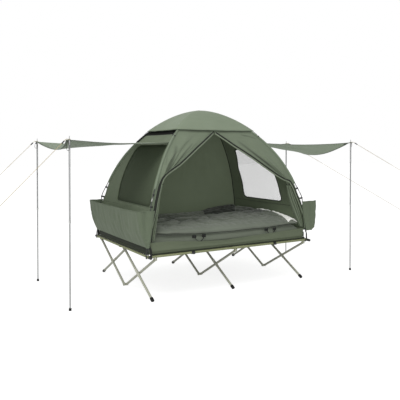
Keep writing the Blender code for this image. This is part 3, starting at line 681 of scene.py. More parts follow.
def block(size: Point) -> bpy.types.Object:
    """A new box of that size at the origin, the only thing selected."""
    bpy.ops.object.select_all(action="DESELECT")
    bpy.ops.mesh.primitive_cube_add(size=1.0)
    made = bpy.context.active_object
    made.scale = size
    bpy.ops.object.transform_apply(scale=True)
    return made


def soften(piece: bpy.types.Object, width: float, segments: int = 2) -> bpy.types.Object:
    """Rounds a piece's edges with an applied Bevel and returns it."""
    edge = piece.modifiers.new("edge", "BEVEL")
    edge.width = width
    edge.segments = segments
    edge.limit_method = "ANGLE"
    return apply_all(piece)


def waisted_toggle(radius: float, length: float, edge: float, inset: float) -> bpy.types.Object:
    """A new toggle at the origin: a rounded barrel with inset faces round its waist, where the cord bites.

    Args:
        radius: The barrel's radius.
        length: Its length.
        edge: The radius of its rounded ends.
        inset: How far the waist's faces are inset.

    Returns:
        The piece.
    """
    toggle = soften(rod(radius, length, 14), edge, 3)
    pick_faces(toggle, lambda middle, normal: abs(middle.z) < 0.004 and abs(normal.z) < 0.5)
    bpy.ops.mesh.inset(thickness=inset)
    bpy.ops.object.mode_set(mode="OBJECT")
    return toggle


def collar(radius: float, bore: float, length: float, lip: float, sides: int = 20) -> bpy.types.Object:
    """A turned ring with a raised lip at each end, on the Z axis.

    Args:
        radius: Its outer radius.
        bore: Its inner radius.
        length: Its length.
        lip: How far the lips stand out.
        sides: Faces round it.

    Returns:
        The piece.
    """
    piece = rod(radius, length, sides)
    for end in (1, -1):
        pick_faces(piece, lambda middle, normal: normal.z * end > 0.9)
        bpy.ops.mesh.extrude_region_move(TRANSFORM_OT_translate={"value": (0, 0, end * lip)})
        bpy.ops.transform.resize(value=(1 + lip / radius,) * 2 + (1,))
        bpy.ops.mesh.extrude_region_move(TRANSFORM_OT_translate={"value": (0, 0, end * lip)})
    pick_faces(piece, lambda middle, normal: abs(normal.z) > 0.9 and abs(middle.z) > length / 2 + lip)
    bpy.ops.mesh.inset(thickness=radius + lip - bore, use_even_offset=True)
    bpy.ops.mesh.bridge_edge_loops()
    bpy.ops.object.mode_set(mode="OBJECT")
    return piece


def copy_of(piece: bpy.types.Object, name: str, place: Matrix) -> bpy.types.Object:
    """A copy of a piece with its own mesh, moved by a matrix.

    Args:
        piece: The piece at the origin.
        name: The copy's name.
        place: Where it goes.

    Returns:
        The copy, with its place in its mesh.
    """
    made = bpy.data.objects.new(name, piece.data.copy())
    made.data.transform(place)
    bpy.context.scene.collection.objects.link(made)
    return made


def facing(spot: Point, axis: Point, toward: Point) -> Matrix:
    """The matrix that takes Z to an axis and X towards a direction, at a spot.

    Args:
        spot: The new place of the origin.
        axis: Where Z points.
        toward: Where X points, as nearly as it can.

    Returns:
        The matrix.
    """
    up = Vector(axis).normalized()
    side = Vector(toward)
    side = (side - up * side.dot(up)).normalized()
    other = up.cross(side)
    return Matrix((
        (side.x, other.x, up.x, spot[0]),
        (side.y, other.y, up.y, spot[1]),
        (side.z, other.z, up.z, spot[2]),
        (0, 0, 0, 1),
    ))


@dataclass
class SubAssembly:
    """What every sub-assembly shares: dressing its pieces and hanging them on the frame."""

    def put(self, piece: bpy.types.Object, finish: Cloth | Netting | Coating | Braid, slot: str = "",
            body: str = "root", nodes: Iterable[str] = (), soft: bool = False) -> bpy.types.Object:
        """Dresses a finished piece and hangs it on the frame.

        Args:
            piece: The piece, in place.
            finish: Its finish.
            slot: Not used.
            body: The body that carries it.
            nodes: The frame's nodes that it stands for.
            soft: Whether it gets its own copy of its mesh.

        Returns:
            The piece.
        """
        piece.data.materials.clear()
        piece.data.materials.append(WARDROBE.of(finish))
        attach(piece, body)
        if soft:
            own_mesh(piece)
        if nodes:
            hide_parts(*nodes)
        log.info("%s: %s on %s, %d faces", type(self).__name__, piece.name, body, len(piece.data.polygons))
        return piece

    def cloth(self, piece: bpy.types.Object, held: str, rests_on: Sequence[str],
              trims: Sequence[bpy.types.Object] = ()) -> None:
        """Works out a closed sheet of cloth's flat size and area from its UV map in metres, and keeps
        neither.

        Args:
            piece: The sheet, in place and with its thickness.
            held: Not used.
            rests_on: Not used.
            trims: Not used.
        """
        layer = piece.data.uv_layers[0].data
        spots = np.empty(len(layer) * 2, np.float32)
        layer.foreach_get("uv", spots)
        width, length = (float(v) for v in np.ptp(spots.reshape(-1, 2), axis=0))
        area = sum(face.area for face in piece.data.polygons) / 2
        grow = max(1.0, math.sqrt(area / (width * length)))
        flat = (round(width * grow, 2), round(length * grow, 2))
        area = min(round(area, 2), round(flat[0] * flat[1] - 0.001, 3))

    def dress(self, nodes: Iterable[str], finish: Coating) -> None:
        """Gives frame nodes that stay in view a better material.

        Args:
            nodes: Their names.
            finish: Their finish.
        """
        for name in nodes:
            for slot in frame["nodes"][name].material_slots:
                slot.material = WARDROBE.of(finish)
            log.info("%s: %s keeps its shape, in %s", type(self).__name__, name, finish.name)


# The tent's shape, as the frame has it


@dataclass(frozen=True)
class TentShape:
    """The dome: its surface lies on four arch quarters that rise from the bed's corners."""

    corner_x: float = 0.950
    corner_y: float = 0.685
    diagonal: float = 1.180
    foot_z: float = 0.440
    rise: float = 0.937
    reach: float = 0.370
    top_z: float = 1.827
    dish: float = 0.018
    corner_gap: float = 0.005
    gap_z: float = 0.915
    bulge: tuple[float, float, float] = (0.905, 0.085, 0.018)
    steps: int = 600

    def arch(self, t: float, offset: float = 0.0) -> tuple[float, float]:
        """Distance from the middle along the diagonal, and height, at t from 0 to 1."""
        handles = ((0.0, self.foot_z), (0.0, self.foot_z + self.rise),
                   (self.diagonal - self.reach, self.top_z), (self.diagonal, self.top_z))
        weights = ((1 - t) ** 3, 3 * (1 - t) ** 2 * t, 3 * (1 - t) * t * t, t ** 3)
        slopes = ((1 - t) ** 2, 2 * (1 - t) * t, t * t)
        s, z = (sum(w * h[k] for w, h in zip(weights, handles)) for k in (0, 1))
        ds, dz = (sum(w * (q[k] - p[k]) for w, q, p in zip(slopes, handles[1:], handles)) for k in (0, 1))
        length = math.hypot(ds, dz)
        return self.diagonal - s + offset * dz / length, z + offset * ds / length

    def table(self, offset: float) -> tuple[list[float], list[float]]:
        """Shares of the corner and heights along the arch, from its foot to the top."""
        if offset not in ARCH_TABLES:
            spots = [self.arch(k / self.steps, offset) for k in range(self.steps + 1)]
            ARCH_TABLES[offset] = [r / self.diagonal for r, _ in spots], [z for _, z in spots]
        return ARCH_TABLES[offset]

    def share_at(self, z: float) -> float:
        """How far out the wall stands at a height, as a share of its corner."""
        shares, heights = self.table(0.0)
        slack = self.corner_gap * math.exp(-(((z - self.gap_z) / 0.055) ** 2))
        return float(np.interp(z, heights, shares)) - slack

    def height_at(self, share: float, offset: float = 0.0) -> float:
        """The height at which the wall, or a surface outside it, stands that far out."""
        shares, heights = self.table(offset)
        return float(np.interp(share, shares[::-1], heights[::-1]))

    def wall(self, side: str, along: float, z: float, out: float = 0.0) -> Vector:
        """A point on a wall's outer face.

        Args:
            side: front, back, left or right.
            along: From -1 to 1 between the poles.
            z: The height.
            out: How far outside the face.

        Returns:
            The point.
        """
        share = self.share_at(z)
        a, b = share * self.corner_x, share * self.corner_y
        hollow = self.dish * (1 - along * along) * min(1.0, share * 2)
        if side == "front":
            return Vector((along * a, -b - out, z))
        if side == "back":
            return Vector((along * a, b - hollow + out, z))
        sign = -1 if side == "left" else 1
        return Vector((sign * (a - hollow + out), along * b, z))

    def pole(self, turn: int, rise: float, count: int, low: float, high: float) -> list[Vector]:
        """Points along an arch pole, between two places from -1 to 1 along it.

        Args:
            turn: 1 for the pole that starts at the left front corner, -1 for the other.
            rise: How much higher it passes at the crossing.
            count: How many points.
            low: Where they start.
            high: Where they end.

        Returns:
            The points.
        """
        points = []
        bulge_z, bulge_height, bulge_out = self.bulge
        for k in spread(low, high, count):
            r, z = self.arch(1 - abs(k), 0.0105)
            r += bulge_out * math.exp(-(((z - bulge_z) / bulge_height) ** 2))
            z += rise * math.exp(-((r / 0.09) ** 2))
            out = math.copysign(max(r, 0.0), k) / self.diagonal
            points.append(Vector((out * self.corner_x, turn * out * self.corner_y, z)))
        return points


ARCH_TABLES: dict[float, tuple[list[float], list[float]]] = {}
TENT = TentShape()


# Camera, floor and light


@dataclass
class Studio:
    """The photograph's view, a white floor that keeps a soft shadow, and plain soft light."""

    eye: tuple[float, float, float] = (-2.972, -5.065, 1.405)
    heading: float = 30.405
    pitch: float = -1.068
    lens: float = 46.95
    shift_y: float = -0.099
    floor_half: float = 40.0
    floor_colour: float = 0.62
    floor_light: float = 0.82
    ambient: float = 0.46
    key_watts: float = 90.0
    front_watts: float = 100.0

    def build(self) -> None:
        """Makes all of it."""
        bpy.context.scene.view_settings.view_transform = "Standard"
        self.camera()
        self.floor()
        self.world()
        self.lamp("top_softbox", (-3.4, -2.2, 5.2), 3.0, self.key_watts)
        self.lamp("front_softbox", (-3.6, -6.6, 1.3), 3.5, self.front_watts)

    def camera(self) -> None:
        """The camera, where the photograph was taken from."""
        data = bpy.data.cameras.new("camera")
        data.lens = self.lens
        data.shift_y = self.shift_y
        data.clip_end = 200.0
        camera = bpy.data.objects.new("camera", data)
        camera.location = self.eye
        camera.rotation_euler = (math.radians(90 + self.pitch), 0, math.radians(-self.heading))
        bpy.context.scene.collection.objects.link(camera)
        bpy.context.scene.camera = camera

    def floor(self) -> None:
        """A white floor: it glows a little to the camera, and takes the object's shadow."""
        half = self.floor_half
        mesh = bpy.data.meshes.new("floor")
        mesh.from_pydata([(-half, -half, 0), (half, -half, 0), (half, half, 0), (-half, half, 0)], [],
                         [(0, 1, 2, 3)])
        floor = bpy.data.objects.new("floor", mesh)
        bpy.context.scene.collection.objects.link(floor)
        made = bpy.data.materials.new("white_floor")
        made.use_nodes = True
        tree = made.node_tree
        tree.nodes.clear()
        seen = self.seen(tree)
        glow = add(tree, "Math", {0: seen, 1: self.floor_light}, operation="MULTIPLY")
        level = self.floor_colour
        white = add(tree, "BsdfDiffuse", {"Color": (level, level, level, 1)})
        light = add(tree, "Emission", {"Strength": glow.outputs[0]})
        both = add(tree, "AddShader", {0: white.outputs[0], 1: light.outputs[0]})
        add(tree, "OutputMaterial", {"Surface": both.outputs[0]})
        mesh.materials.append(made)

    def seen(self, tree: bpy.types.NodeTree) -> bpy.types.NodeSocket:
        """1 for what the camera sees, straight, in a reflection or through film."""
        path = add(tree, "LightPath")
        both = add(tree, "Math", {
            0: path.outputs["Is Camera Ray"], 1: path.outputs["Is Glossy Ray"],
        }, operation="MAXIMUM")
        return add(tree, "Math", {
            0: both.outputs[0], 1: path.outputs["Is Transmission Ray"],
        }, operation="MAXIMUM").outputs[0]

    def world(self) -> None:
        """A white surround that lights the object evenly and looks white to the camera."""
        world = bpy.data.worlds.new("studio")
        bpy.context.scene.world = world
        world.use_nodes = True
        tree = world.node_tree
        background = tree.nodes["Background"]
        background.inputs["Color"].default_value = (1, 1, 1, 1)
        level = add(tree, "MapRange", {"Value": self.seen(tree), "To Min": self.ambient, "To Max": 1.0})
        tree.links.new(level.outputs[0], background.inputs["Strength"])

    def lamp(self, name: str, place: Point, size: float, watts: float) -> None:
        """A large square lamp that looks at the tent.

        Args:
            name: Its name.
            place: Where it stands.
            size: Its side.
            watts: Its power.
        """
        data = bpy.data.lights.new(name, "AREA")
        data.size = size
        data.energy = watts
        lamp = bpy.data.objects.new(name, data)
        lamp.location = place
        lamp.rotation_euler = (Vector((0, 0, 0.8)) - Vector(place)).to_track_quat("-Z", "Y").to_euler()
        bpy.context.scene.collection.objects.link(lamp)


# Guy lines and awning poles


@dataclass
class GuyLines(SubAssembly):
    """Four taut guy lines, each with a bight round its pole's spike and a knotted loop at its end."""

    pole_z: float = 1.500
    poles: dict[str, tuple[float, float]] = field(default_factory=lambda: {
        "left_front": (-1.650, -0.560), "left_back": (-1.645, 0.648),
        "right_front": (1.648, -0.682), "right_back": (1.650, 0.486),
    })
    ways: dict[str, tuple[float, float, float]] = field(default_factory=lambda: {
        "left": (-1.0, -0.15, -0.97), "right": (1.0, -0.50, -0.65),
    })
    runs: dict[str, float] = field(default_factory=lambda: {
        "left_front": 0.66, "left_back": 0.46, "right_front": 0.62, "right_back": 1.52,
    })
    radius: float = 0.0020
    ring: tuple[float, float] = (0.0085, 0.0060)
    start: float = 0.030
    loop: tuple[float, float] = (0.060, 0.014)
    knot: float = 0.0052

    def route(self, spot: str) -> tuple[list[Vector], Vector, Vector]:
        """The cord's path, as the frame has it: round the spike, out, and back in a loop.

        Args:
            spot: The pole's name.

        Returns:
            The points, the knot's place and the cord's direction there.
        """
        way = Vector(self.ways[spot.split("_")[0]])
        flat = Vector((way.x, way.y, 0)).normalized()
        across = Vector((-flat.y, flat.x, 0))
        ring_radius, ring_rise = self.ring
        centre = Vector((*self.poles[spot], self.pole_z + ring_rise))
        points = []
        for degrees in spread(-110, -360, 9):
            angle = math.radians(degrees)
            points.append(centre + ring_radius * (flat * math.cos(angle) + across * math.sin(angle)))
        points.append(centre + flat * 0.016 + across * 0.0035)
        start = centre + flat * self.start
        end = start + way * self.runs[spot]
        points += [start.lerp(end, share) for share in spread(0, 1, 13)]
        along = way.normalized()
        length, half = self.loop
        for k in range(1, 12):
            angle = 2 * math.pi * k / 12.6
            forward = length / 2 * (1 - math.cos(angle)) + self.knot
            points.append(end + along * forward + across * (half * math.sin(angle)))
        return points, end, along

    def knot_piece(self, name: str, end: Vector, along: Vector) -> bpy.types.Object:
        """Three wraps of the cord over each other, where the loop is tied.

        Args:
            name: The piece's name.
            end: The knot's middle.
            along: The cord's direction.

        Returns:
            The piece.
        """
        side = along.cross(Vector((0, 0, 1))).normalized()
        up = side.cross(along)
        points = []
        for k in range(40):
            turn = 2 * math.pi * 3 * k / 39
            forward = 0.010 * (k / 39 - 0.5) + 0.0015 * math.sin(2 * turn)
            points.append(end + along * forward + (side * math.cos(turn) + up * math.sin(turn)) * 0.0033)
        return tube(name, points, 0.0019, 8)

    def build(self) -> None:
        """Makes the cords and their knots."""
        for spot in SPOTS:
            points, end, along = self.route(spot)
            cord = tube(f"guy_cord_{spot}", points, self.radius, 10)
            self.put(cord, CORD, "guy_cord", f"line_{spot}", [f"guy_line_{spot}"])
            knot = self.put(self.knot_piece(f"guy_knot_{spot}", end, along), CORD, "guy_cord", f"line_{spot}")
        self.dress([f"runner_{spot}" for spot in SPOTS], NYLON)


@dataclass
class AwningPoles(SubAssembly):
    """Trim on the steel poles: the ferrule where the sections meet, and the boot on the foot."""

    spots: dict[str, tuple[float, float]] = field(default_factory=dict)
    ferrule_z: float = 0.770
    upper_radius: float = 0.0080
    foot_radius: float = 0.0095

    def build(self) -> None:
        """Dresses the poles and adds their trim."""
        self.dress([f"awning_pole_{spot}" for spot in SPOTS], POLE_STEEL)
        ferrule = in_place(soften(collar(self.upper_radius + 0.0012, self.upper_radius, 0.022, 0.0006),
                                  0.0003), "ferrule")
        foot = in_place(soften(collar(self.foot_radius + 0.0028, self.foot_radius, 0.018, 0.0008), 0.0004),
                        "boot")
        for spot, (x, y) in self.spots.items():
            body = f"pole_{spot}"
            low = Matrix.Translation((x, y, self.ferrule_z + 0.012))
            self.put(copy_of(ferrule, f"pole_ferrule_{spot}", low), SPRING_STEEL, "pole_steel", body)
            ground = Matrix.Translation((x, y, 0.0115))
            self.put(copy_of(foot, f"pole_boot_{spot}", ground), RUBBER, "foot_rubber", body)
        for pattern in (ferrule, foot):
            bpy.data.objects.remove(pattern)


# Bed frame


@dataclass
class BedFrame(SubAssembly):
    """Finishes of the folding frame, with its crossing brackets and the elastic straps round its rails."""

    stations: dict[str, float] = field(default_factory=lambda: {"left": -0.90, "middle": 0.0, "right": 0.90})
    side_y: float = 0.690
    pivot_z: float = 0.3928
    foot_z: float = 0.0135
    leg_step: float = 0.0137
    leg_radius: float = 0.0125
    bracket: tuple[float, float] = (0.0142, 0.096)
    rail_z: float = 0.4215
    rail_radius: float = 0.0125
    strap_at: tuple[float, float] = (-0.484, 0.510)
    strap_width: float = 0.034

    def build(self) -> None:
        """Dresses the frame's nodes and adds its small fittings."""
        nodes = frame["nodes"]
        self.dress([name for name in nodes if name.startswith("leg_")], LEG_PAINT)
        self.dress([name for name in nodes if name.startswith(("rail_", "end_bar"))], RAIL_PAINT)
        self.dress([name for name in nodes if name.startswith("end_cap")], NYLON)
        self.dress([name for name in nodes if name.startswith("foot_")], RUBBER)
        self.brackets()
        self.rail_straps()

    def brackets(self) -> None:
        """A pressed steel sleeve on each outer leg where the legs cross."""
        radius, length = self.bracket
        pattern = collar(radius, self.leg_radius + 0.0001, length, 0.0003)
        sleeve = in_place(soften(pattern, 0.0006), "bracket")
        for half, sign in (("front", -1), ("back", 1)):
            crossing_y = sign * self.side_y / 2
            crossing_z = (self.pivot_z + self.foot_z) / 2
            slope = Vector((0, sign * self.side_y, self.foot_z - self.pivot_z))
            for station, x in self.stations.items():
                spot = (x + sign * self.leg_step, crossing_y, crossing_z)
                place = facing(spot, slope, (1, 0, 0))
                piece = copy_of(sleeve, f"crossing_bracket_{half}_{station}", place)
                self.put(piece, PLATE_PAINT, "leg_paint", f"legs_{half}_outer")
        bpy.data.objects.remove(sleeve)

    def strap_loop(self, name: str, x: float, sign: int) -> bpy.types.Object:
        """A wide elastic strap wrapped round a rail and up to the floor's edge.

        Args:
            name: The piece's name.
            x: Its middle along the rail.
            sign: -1 for the front rail, 1 for the back one.

        Returns:
            The piece.
        """
        points = []
        for degrees in spread(-190, 120, 22):
            angle = math.radians(degrees)
            reach = self.rail_radius + 0.0022
            points.append((x, sign * (self.side_y + reach * math.cos(angle)),
                           self.rail_z + reach * math.sin(angle)))
        return strap(name, points, Vector((1, 0, 0)), self.strap_width, 0.0024)

    def rail_straps(self) -> None:
        """The elastic straps, each with its plastic hook."""
        hook = soften(block((0.030, 0.0075, 0.022)), 0.0022, 3)
        pick_faces(hook, lambda middle, normal: normal.y < -0.9)
        bpy.ops.mesh.inset(thickness=0.0035)
        bpy.ops.mesh.extrude_region_move(TRANSFORM_OT_translate={"value": (0, 0.0015, 0)})
        bpy.ops.object.mode_set(mode="OBJECT")
        hook = in_place(hook, "hook")
        for half, sign in (("front", -1), ("back", 1)):
            for x in self.strap_at:
                word = "left" if x < 0 else "right"
                loop = self.strap_loop(f"rail_strap_{half}_{word}", x, sign)
                self.put(loop, WEBBING, body=f"rail_{half}")
                spot = (x, sign * (self.side_y + self.rail_radius + 0.0075), self.rail_z - 0.004)
                turn = Matrix.Translation(spot) @ Matrix.Rotation(0 if sign < 0 else math.pi, 4, "Z")
                self.put(copy_of(hook, f"rail_hook_{half}_{word}", turn), NYLON, body=f"rail_{half}")
        bpy.data.objects.remove(hook)


# Bed cloth and tent floor


@dataclass
class BedCloth(SubAssembly):
    """The taut cloth over the rails, with a thick rolled hem along each side and each end."""

    half: tuple[float, float] = (0.930, 0.6940)
    low_z: float = 0.4366
    thickness: float = 0.0025
    roll: float = 0.0065
    end_half: float = 0.655
    end_x: float = 0.9580
    settle: float = 0.0016

    def section(self, middle: float) -> list[tuple[float, float]]:
        """Half of the cloth's section, out to the roll and back along its top.

        Args:
            middle: How far out the roll's middle is.

        Returns:
            Distances out and heights.
        """
        centre = self.low_z + self.roll - self.settle
        out = [(middle - 0.05, self.low_z), (middle - 0.012, self.low_z)]
        for degrees in spread(-100, 200, 20):
            angle = math.radians(degrees)
            out.append((middle + self.roll * math.cos(angle), centre + self.roll * math.sin(angle)))
        top = self.low_z + self.thickness
        return [*out, (middle - 0.0165, top), (middle - 0.05, top)]

    def build(self) -> None:
        """Makes the cloth in one piece, the two end hems, and a dark strip at each end that paints the shade
        there.
        """
        x_half, y_half = self.half
        right = self.section(y_half)
        left = [(-y, z) for y, z in reversed(right)]
        outline = [*right, *left]
        rows = []
        for x in spread(-x_half, x_half, 90):
            row = []
            for y, z in outline:
                out = max(0.0, (z - self.low_z - self.thickness) / (2 * self.roll))
                row.append((x, y, z + out * crumple((x, y * 0.3, 0), 0.11, 0.0022)))
            rows.append(row)
        cloth = grid_piece("bed_canvas", rows, closed=True, caps=True)
        self.put(cloth, BED_CANVAS, "bed_cloth", nodes=["bed_cloth"], soft=True)
        for side in Side:
            section = self.section(self.end_x)
            loop = [(side.value * x, z) for x, z in section]
            rows = []
            for y in spread(-self.end_half, self.end_half, 70):
                rows.append([(x, y, z + crumple((x, y, 5), 0.10, 0.0012) * (z > self.low_z + 0.004))
                             for x, z in loop])
            hem = grid_piece(f"bed_canvas_end_{side.word}", rows, flip=side is Side.RIGHT, closed=True,
                             caps=True)
            self.put(hem, BED_CANVAS, "bed_cloth", soft=True)
            # A dark upright strip of bed cloth at each end: painted shade over the foot of the tray's end,
            # below the pocket.
            rise = [(side.value * (0.9488 + crumple((0, y, 2), 0.12, 0.0009)), y, 0.4785)
                    for y in spread(-0.662, 0.662, 60)]
            shade_strip = strap(f"bed_skirt_{side.word}", rise, Vector((0, 0, 1)), 0.052, 0.0018)
            self.put(shade_strip, BED_CANVAS, "bed_cloth", soft=True)


@dataclass
class FloorTray(SubAssembly):
    """The tent's coated floor, whose sill stands up all round and sags a little at the door."""

    half: tuple[float, float] = (0.946, 0.682)
    corner: float = 0.035
    floor_z: float = 0.4396
    thickness: float = 0.0022
    rim_z: float = 0.545
    sill: tuple[tuple[float, float], ...] = (
        (-0.83, 0.556), (-0.60, 0.532), (-0.445, 0.517), (-0.09, 0.505), (0.226, 0.519), (0.563, 0.530),
        (0.89, 0.543))

    def outline(self, inset: float) -> list[tuple[float, float]]:
        """The tray's plan, as a rounded rectangle.

        Args:
            inset: How far inside its greatest size.

        Returns:
            Points round it, from the front left corner.
        """
        x_half, y_half = (size - inset for size in self.half)
        corner = max(self.corner - inset * 0.2, 0.008)
        points = []
        for x_sign, y_sign, first in ((-1, -1, 180), (1, -1, 270), (1, 1, 0), (-1, 1, 90)):
            for degrees in spread(first, first + 90, 7):
                angle = math.radians(degrees)
                points.append((x_sign * (x_half - corner) + corner * math.cos(angle),
                               y_sign * (y_half - corner) + corner * math.sin(angle)))
        plan = []
        for (x, y), (next_x, next_y) in zip(points, points[1:] + points[:1]):
            count = max(1, round(math.hypot(next_x - x, next_y - y) / 0.03))
            plan += [(x + (next_x - x) * k / count, y + (next_y - y) * k / count) for k in range(count)]
        return plan

    def rim(self, x: float, y: float) -> float:
        """The sill's height at a place, lower between the curtains."""
        front = min(1.0, max(0.0, (-y - 0.60) / 0.07))
        open_side = max(0.0, 1 - (x / 0.86) ** 4)
        slope = between(x, self.sill)
        return self.rim_z + front * open_side * (slope - self.rim_z)

    def build(self) -> None:
        """Makes the tray as one sheet, with a thin binding on its rim at the door."""
        rows = []
        for share in (0.03, 0.3, 0.6, 0.85, 0.95):
            plan = self.outline(0.015)
            rows.append([(x * share, y * share, self.floor_z) for x, y in plan])
        for inset, z in ((0.013, 0.4396), (0.0085, 0.4412), (0.0072, 0.446), (0.0070, 0.455),
                         (0.0058, 0.4625)):
            rows.append([(x, y, z) for x, y in self.outline(inset)])
        low = 0.466
        for share in spread(0.0, 1.0, 9):
            plan = self.outline(0.0012)
            row = []
            for x, y in plan:
                z = low + (self.rim(x, y) - low) * share
                slack = math.sin(math.pi * share)
                pull = 0.0035 * slack + crumple((x * 0.30, y * 0.30, z), 0.030, 0.0065) * slack
                size = math.hypot(x, y)
                row.append((x * (1 - max(pull, 0) / size), y * (1 - max(pull, 0) / size), z))
            rows.append(row)
        count = min(len(row) for row in rows)
        rows = [self.resampled(row, count) for row in rows]
        tray = grid_piece("tent_floor", rows, flip=True, closed=True, caps=False)
        thickened(tray, self.thickness)
        rim = [Vector(p) for p in rows[-1]]
        rim_tape = tube("floor_rim_tape", [*rim, rim[0]], 0.0032, 8)
        tape = self.put(rim_tape, TRAY_CANVAS, "tray_cloth", soft=True)
        self.put(tray, TRAY_CANVAS, "tray_cloth", nodes=["floor_tray"], soft=True)
        self.cloth(tray, "stretched", ["bed_canvas"], [tape])

    @staticmethod
    def resampled(row: Sequence[Point], count: int) -> list[Point]:
        """A closed row with another number of points, evenly spaced."""
        ring = np.array([*row, row[0]], float)
        steps = np.concatenate([[0.0], np.cumsum(np.linalg.norm(np.diff(ring, axis=0), axis=1))])
        at = np.linspace(0.0, steps[-1], count + 1)[:-1]
        return [tuple(np.interp(v, steps, ring[:, k]) for k in range(3)) for v in at]


# Tent walls


@dataclass(frozen=True)
class Opening:
    """A window or mesh panel in an end wall, as corners in (y, z)."""

    corners: tuple[tuple[float, float], ...]
    rounding: int = 4

    def middle(self) -> tuple[float, float]:
        """The middle of its corners."""
        ys, zs = zip(*self.corners)
        return (min(ys) + max(ys)) / 2, (min(zs) + max(zs)) / 2

    def radii(self, grow: float = 0.0) -> tuple[np.ndarray, np.ndarray]:
        """Its outline as a radius at each angle round its middle.

        Args:
            grow: How far outside its outline.

        Returns:
            Angles and radii.
        """
        y, z = self.middle()
        dense = []
        for (ya, za), (yb, zb) in zip(self.corners, self.corners[1:] + self.corners[:1]):
            dense += [(ya + (yb - ya) * k / 60 - y, za + (zb - za) * k / 60 - z) for k in range(60)]
        angles = np.arctan2([p[1] for p in dense], [p[0] for p in dense])
        sizes = np.hypot([p[0] for p in dense], [p[1] for p in dense])
        order = np.argsort(angles)
        even = np.linspace(-math.pi, math.pi, 361)
        sizes = np.interp(even, angles[order], sizes[order], period=2 * math.pi)
        wide = np.concatenate([sizes[-1 - self.rounding:-1], sizes, sizes[1:1 + self.rounding]])
        smooth = np.convolve(wide, np.ones(2 * self.rounding + 1) / (2 * self.rounding + 1), "valid")
        return even, smooth + grow

    def outline(self, count: int = 96, grow: float = 0.0) -> list[tuple[float, float]]:
        """Points round it, anticlockwise seen with y to the right."""
        y, z = self.middle()
        even, sizes = self.radii(grow)
        turns = [2 * math.pi * k / count - math.pi for k in range(count)]
        radii = [float(np.interp(a, even, sizes)) for a in turns]
        return [(y + r * math.cos(a), z + r * math.sin(a)) for a, r in zip(turns, radii)]


@dataclass(frozen=True)
class Groove:
    """A deep fold in a front panel, or the cap hem's shadow on it, drawn as a dark line of painted shade.

    Its tone starts at a share of its depth, rises over the next part of the line and fades to its far end.
    """

    width: float
    depth: float
    rise: float
    line: tuple[tuple[float, float], ...]
    start: float = 0.2
    fading: float = 0.4

    def tone(self, place: Vector) -> float:
        """How much painted shade the line puts on a place of the panel, given as x and z."""
        spots = [Vector(spot) for spot in self.line]
        total = sum((b - a).length for a, b in zip(spots, spots[1:]))
        nearest, along, run = 1.0, 0.0, 0.0
        for a, b in zip(spots, spots[1:]):
            length = (b - a).length
            share = min(1.0, max(0.0, (place - a).dot(b - a) / length ** 2))
            away = (place - a - (b - a) * share).length
            if away < nearest:
                nearest, along = away, (run + share * length) / total
            run += length
        fade = min(1.0, self.start + along / self.rise) * (1 - along) ** self.fading
        return self.depth * fade * math.exp(-((nearest / self.width) ** 2))


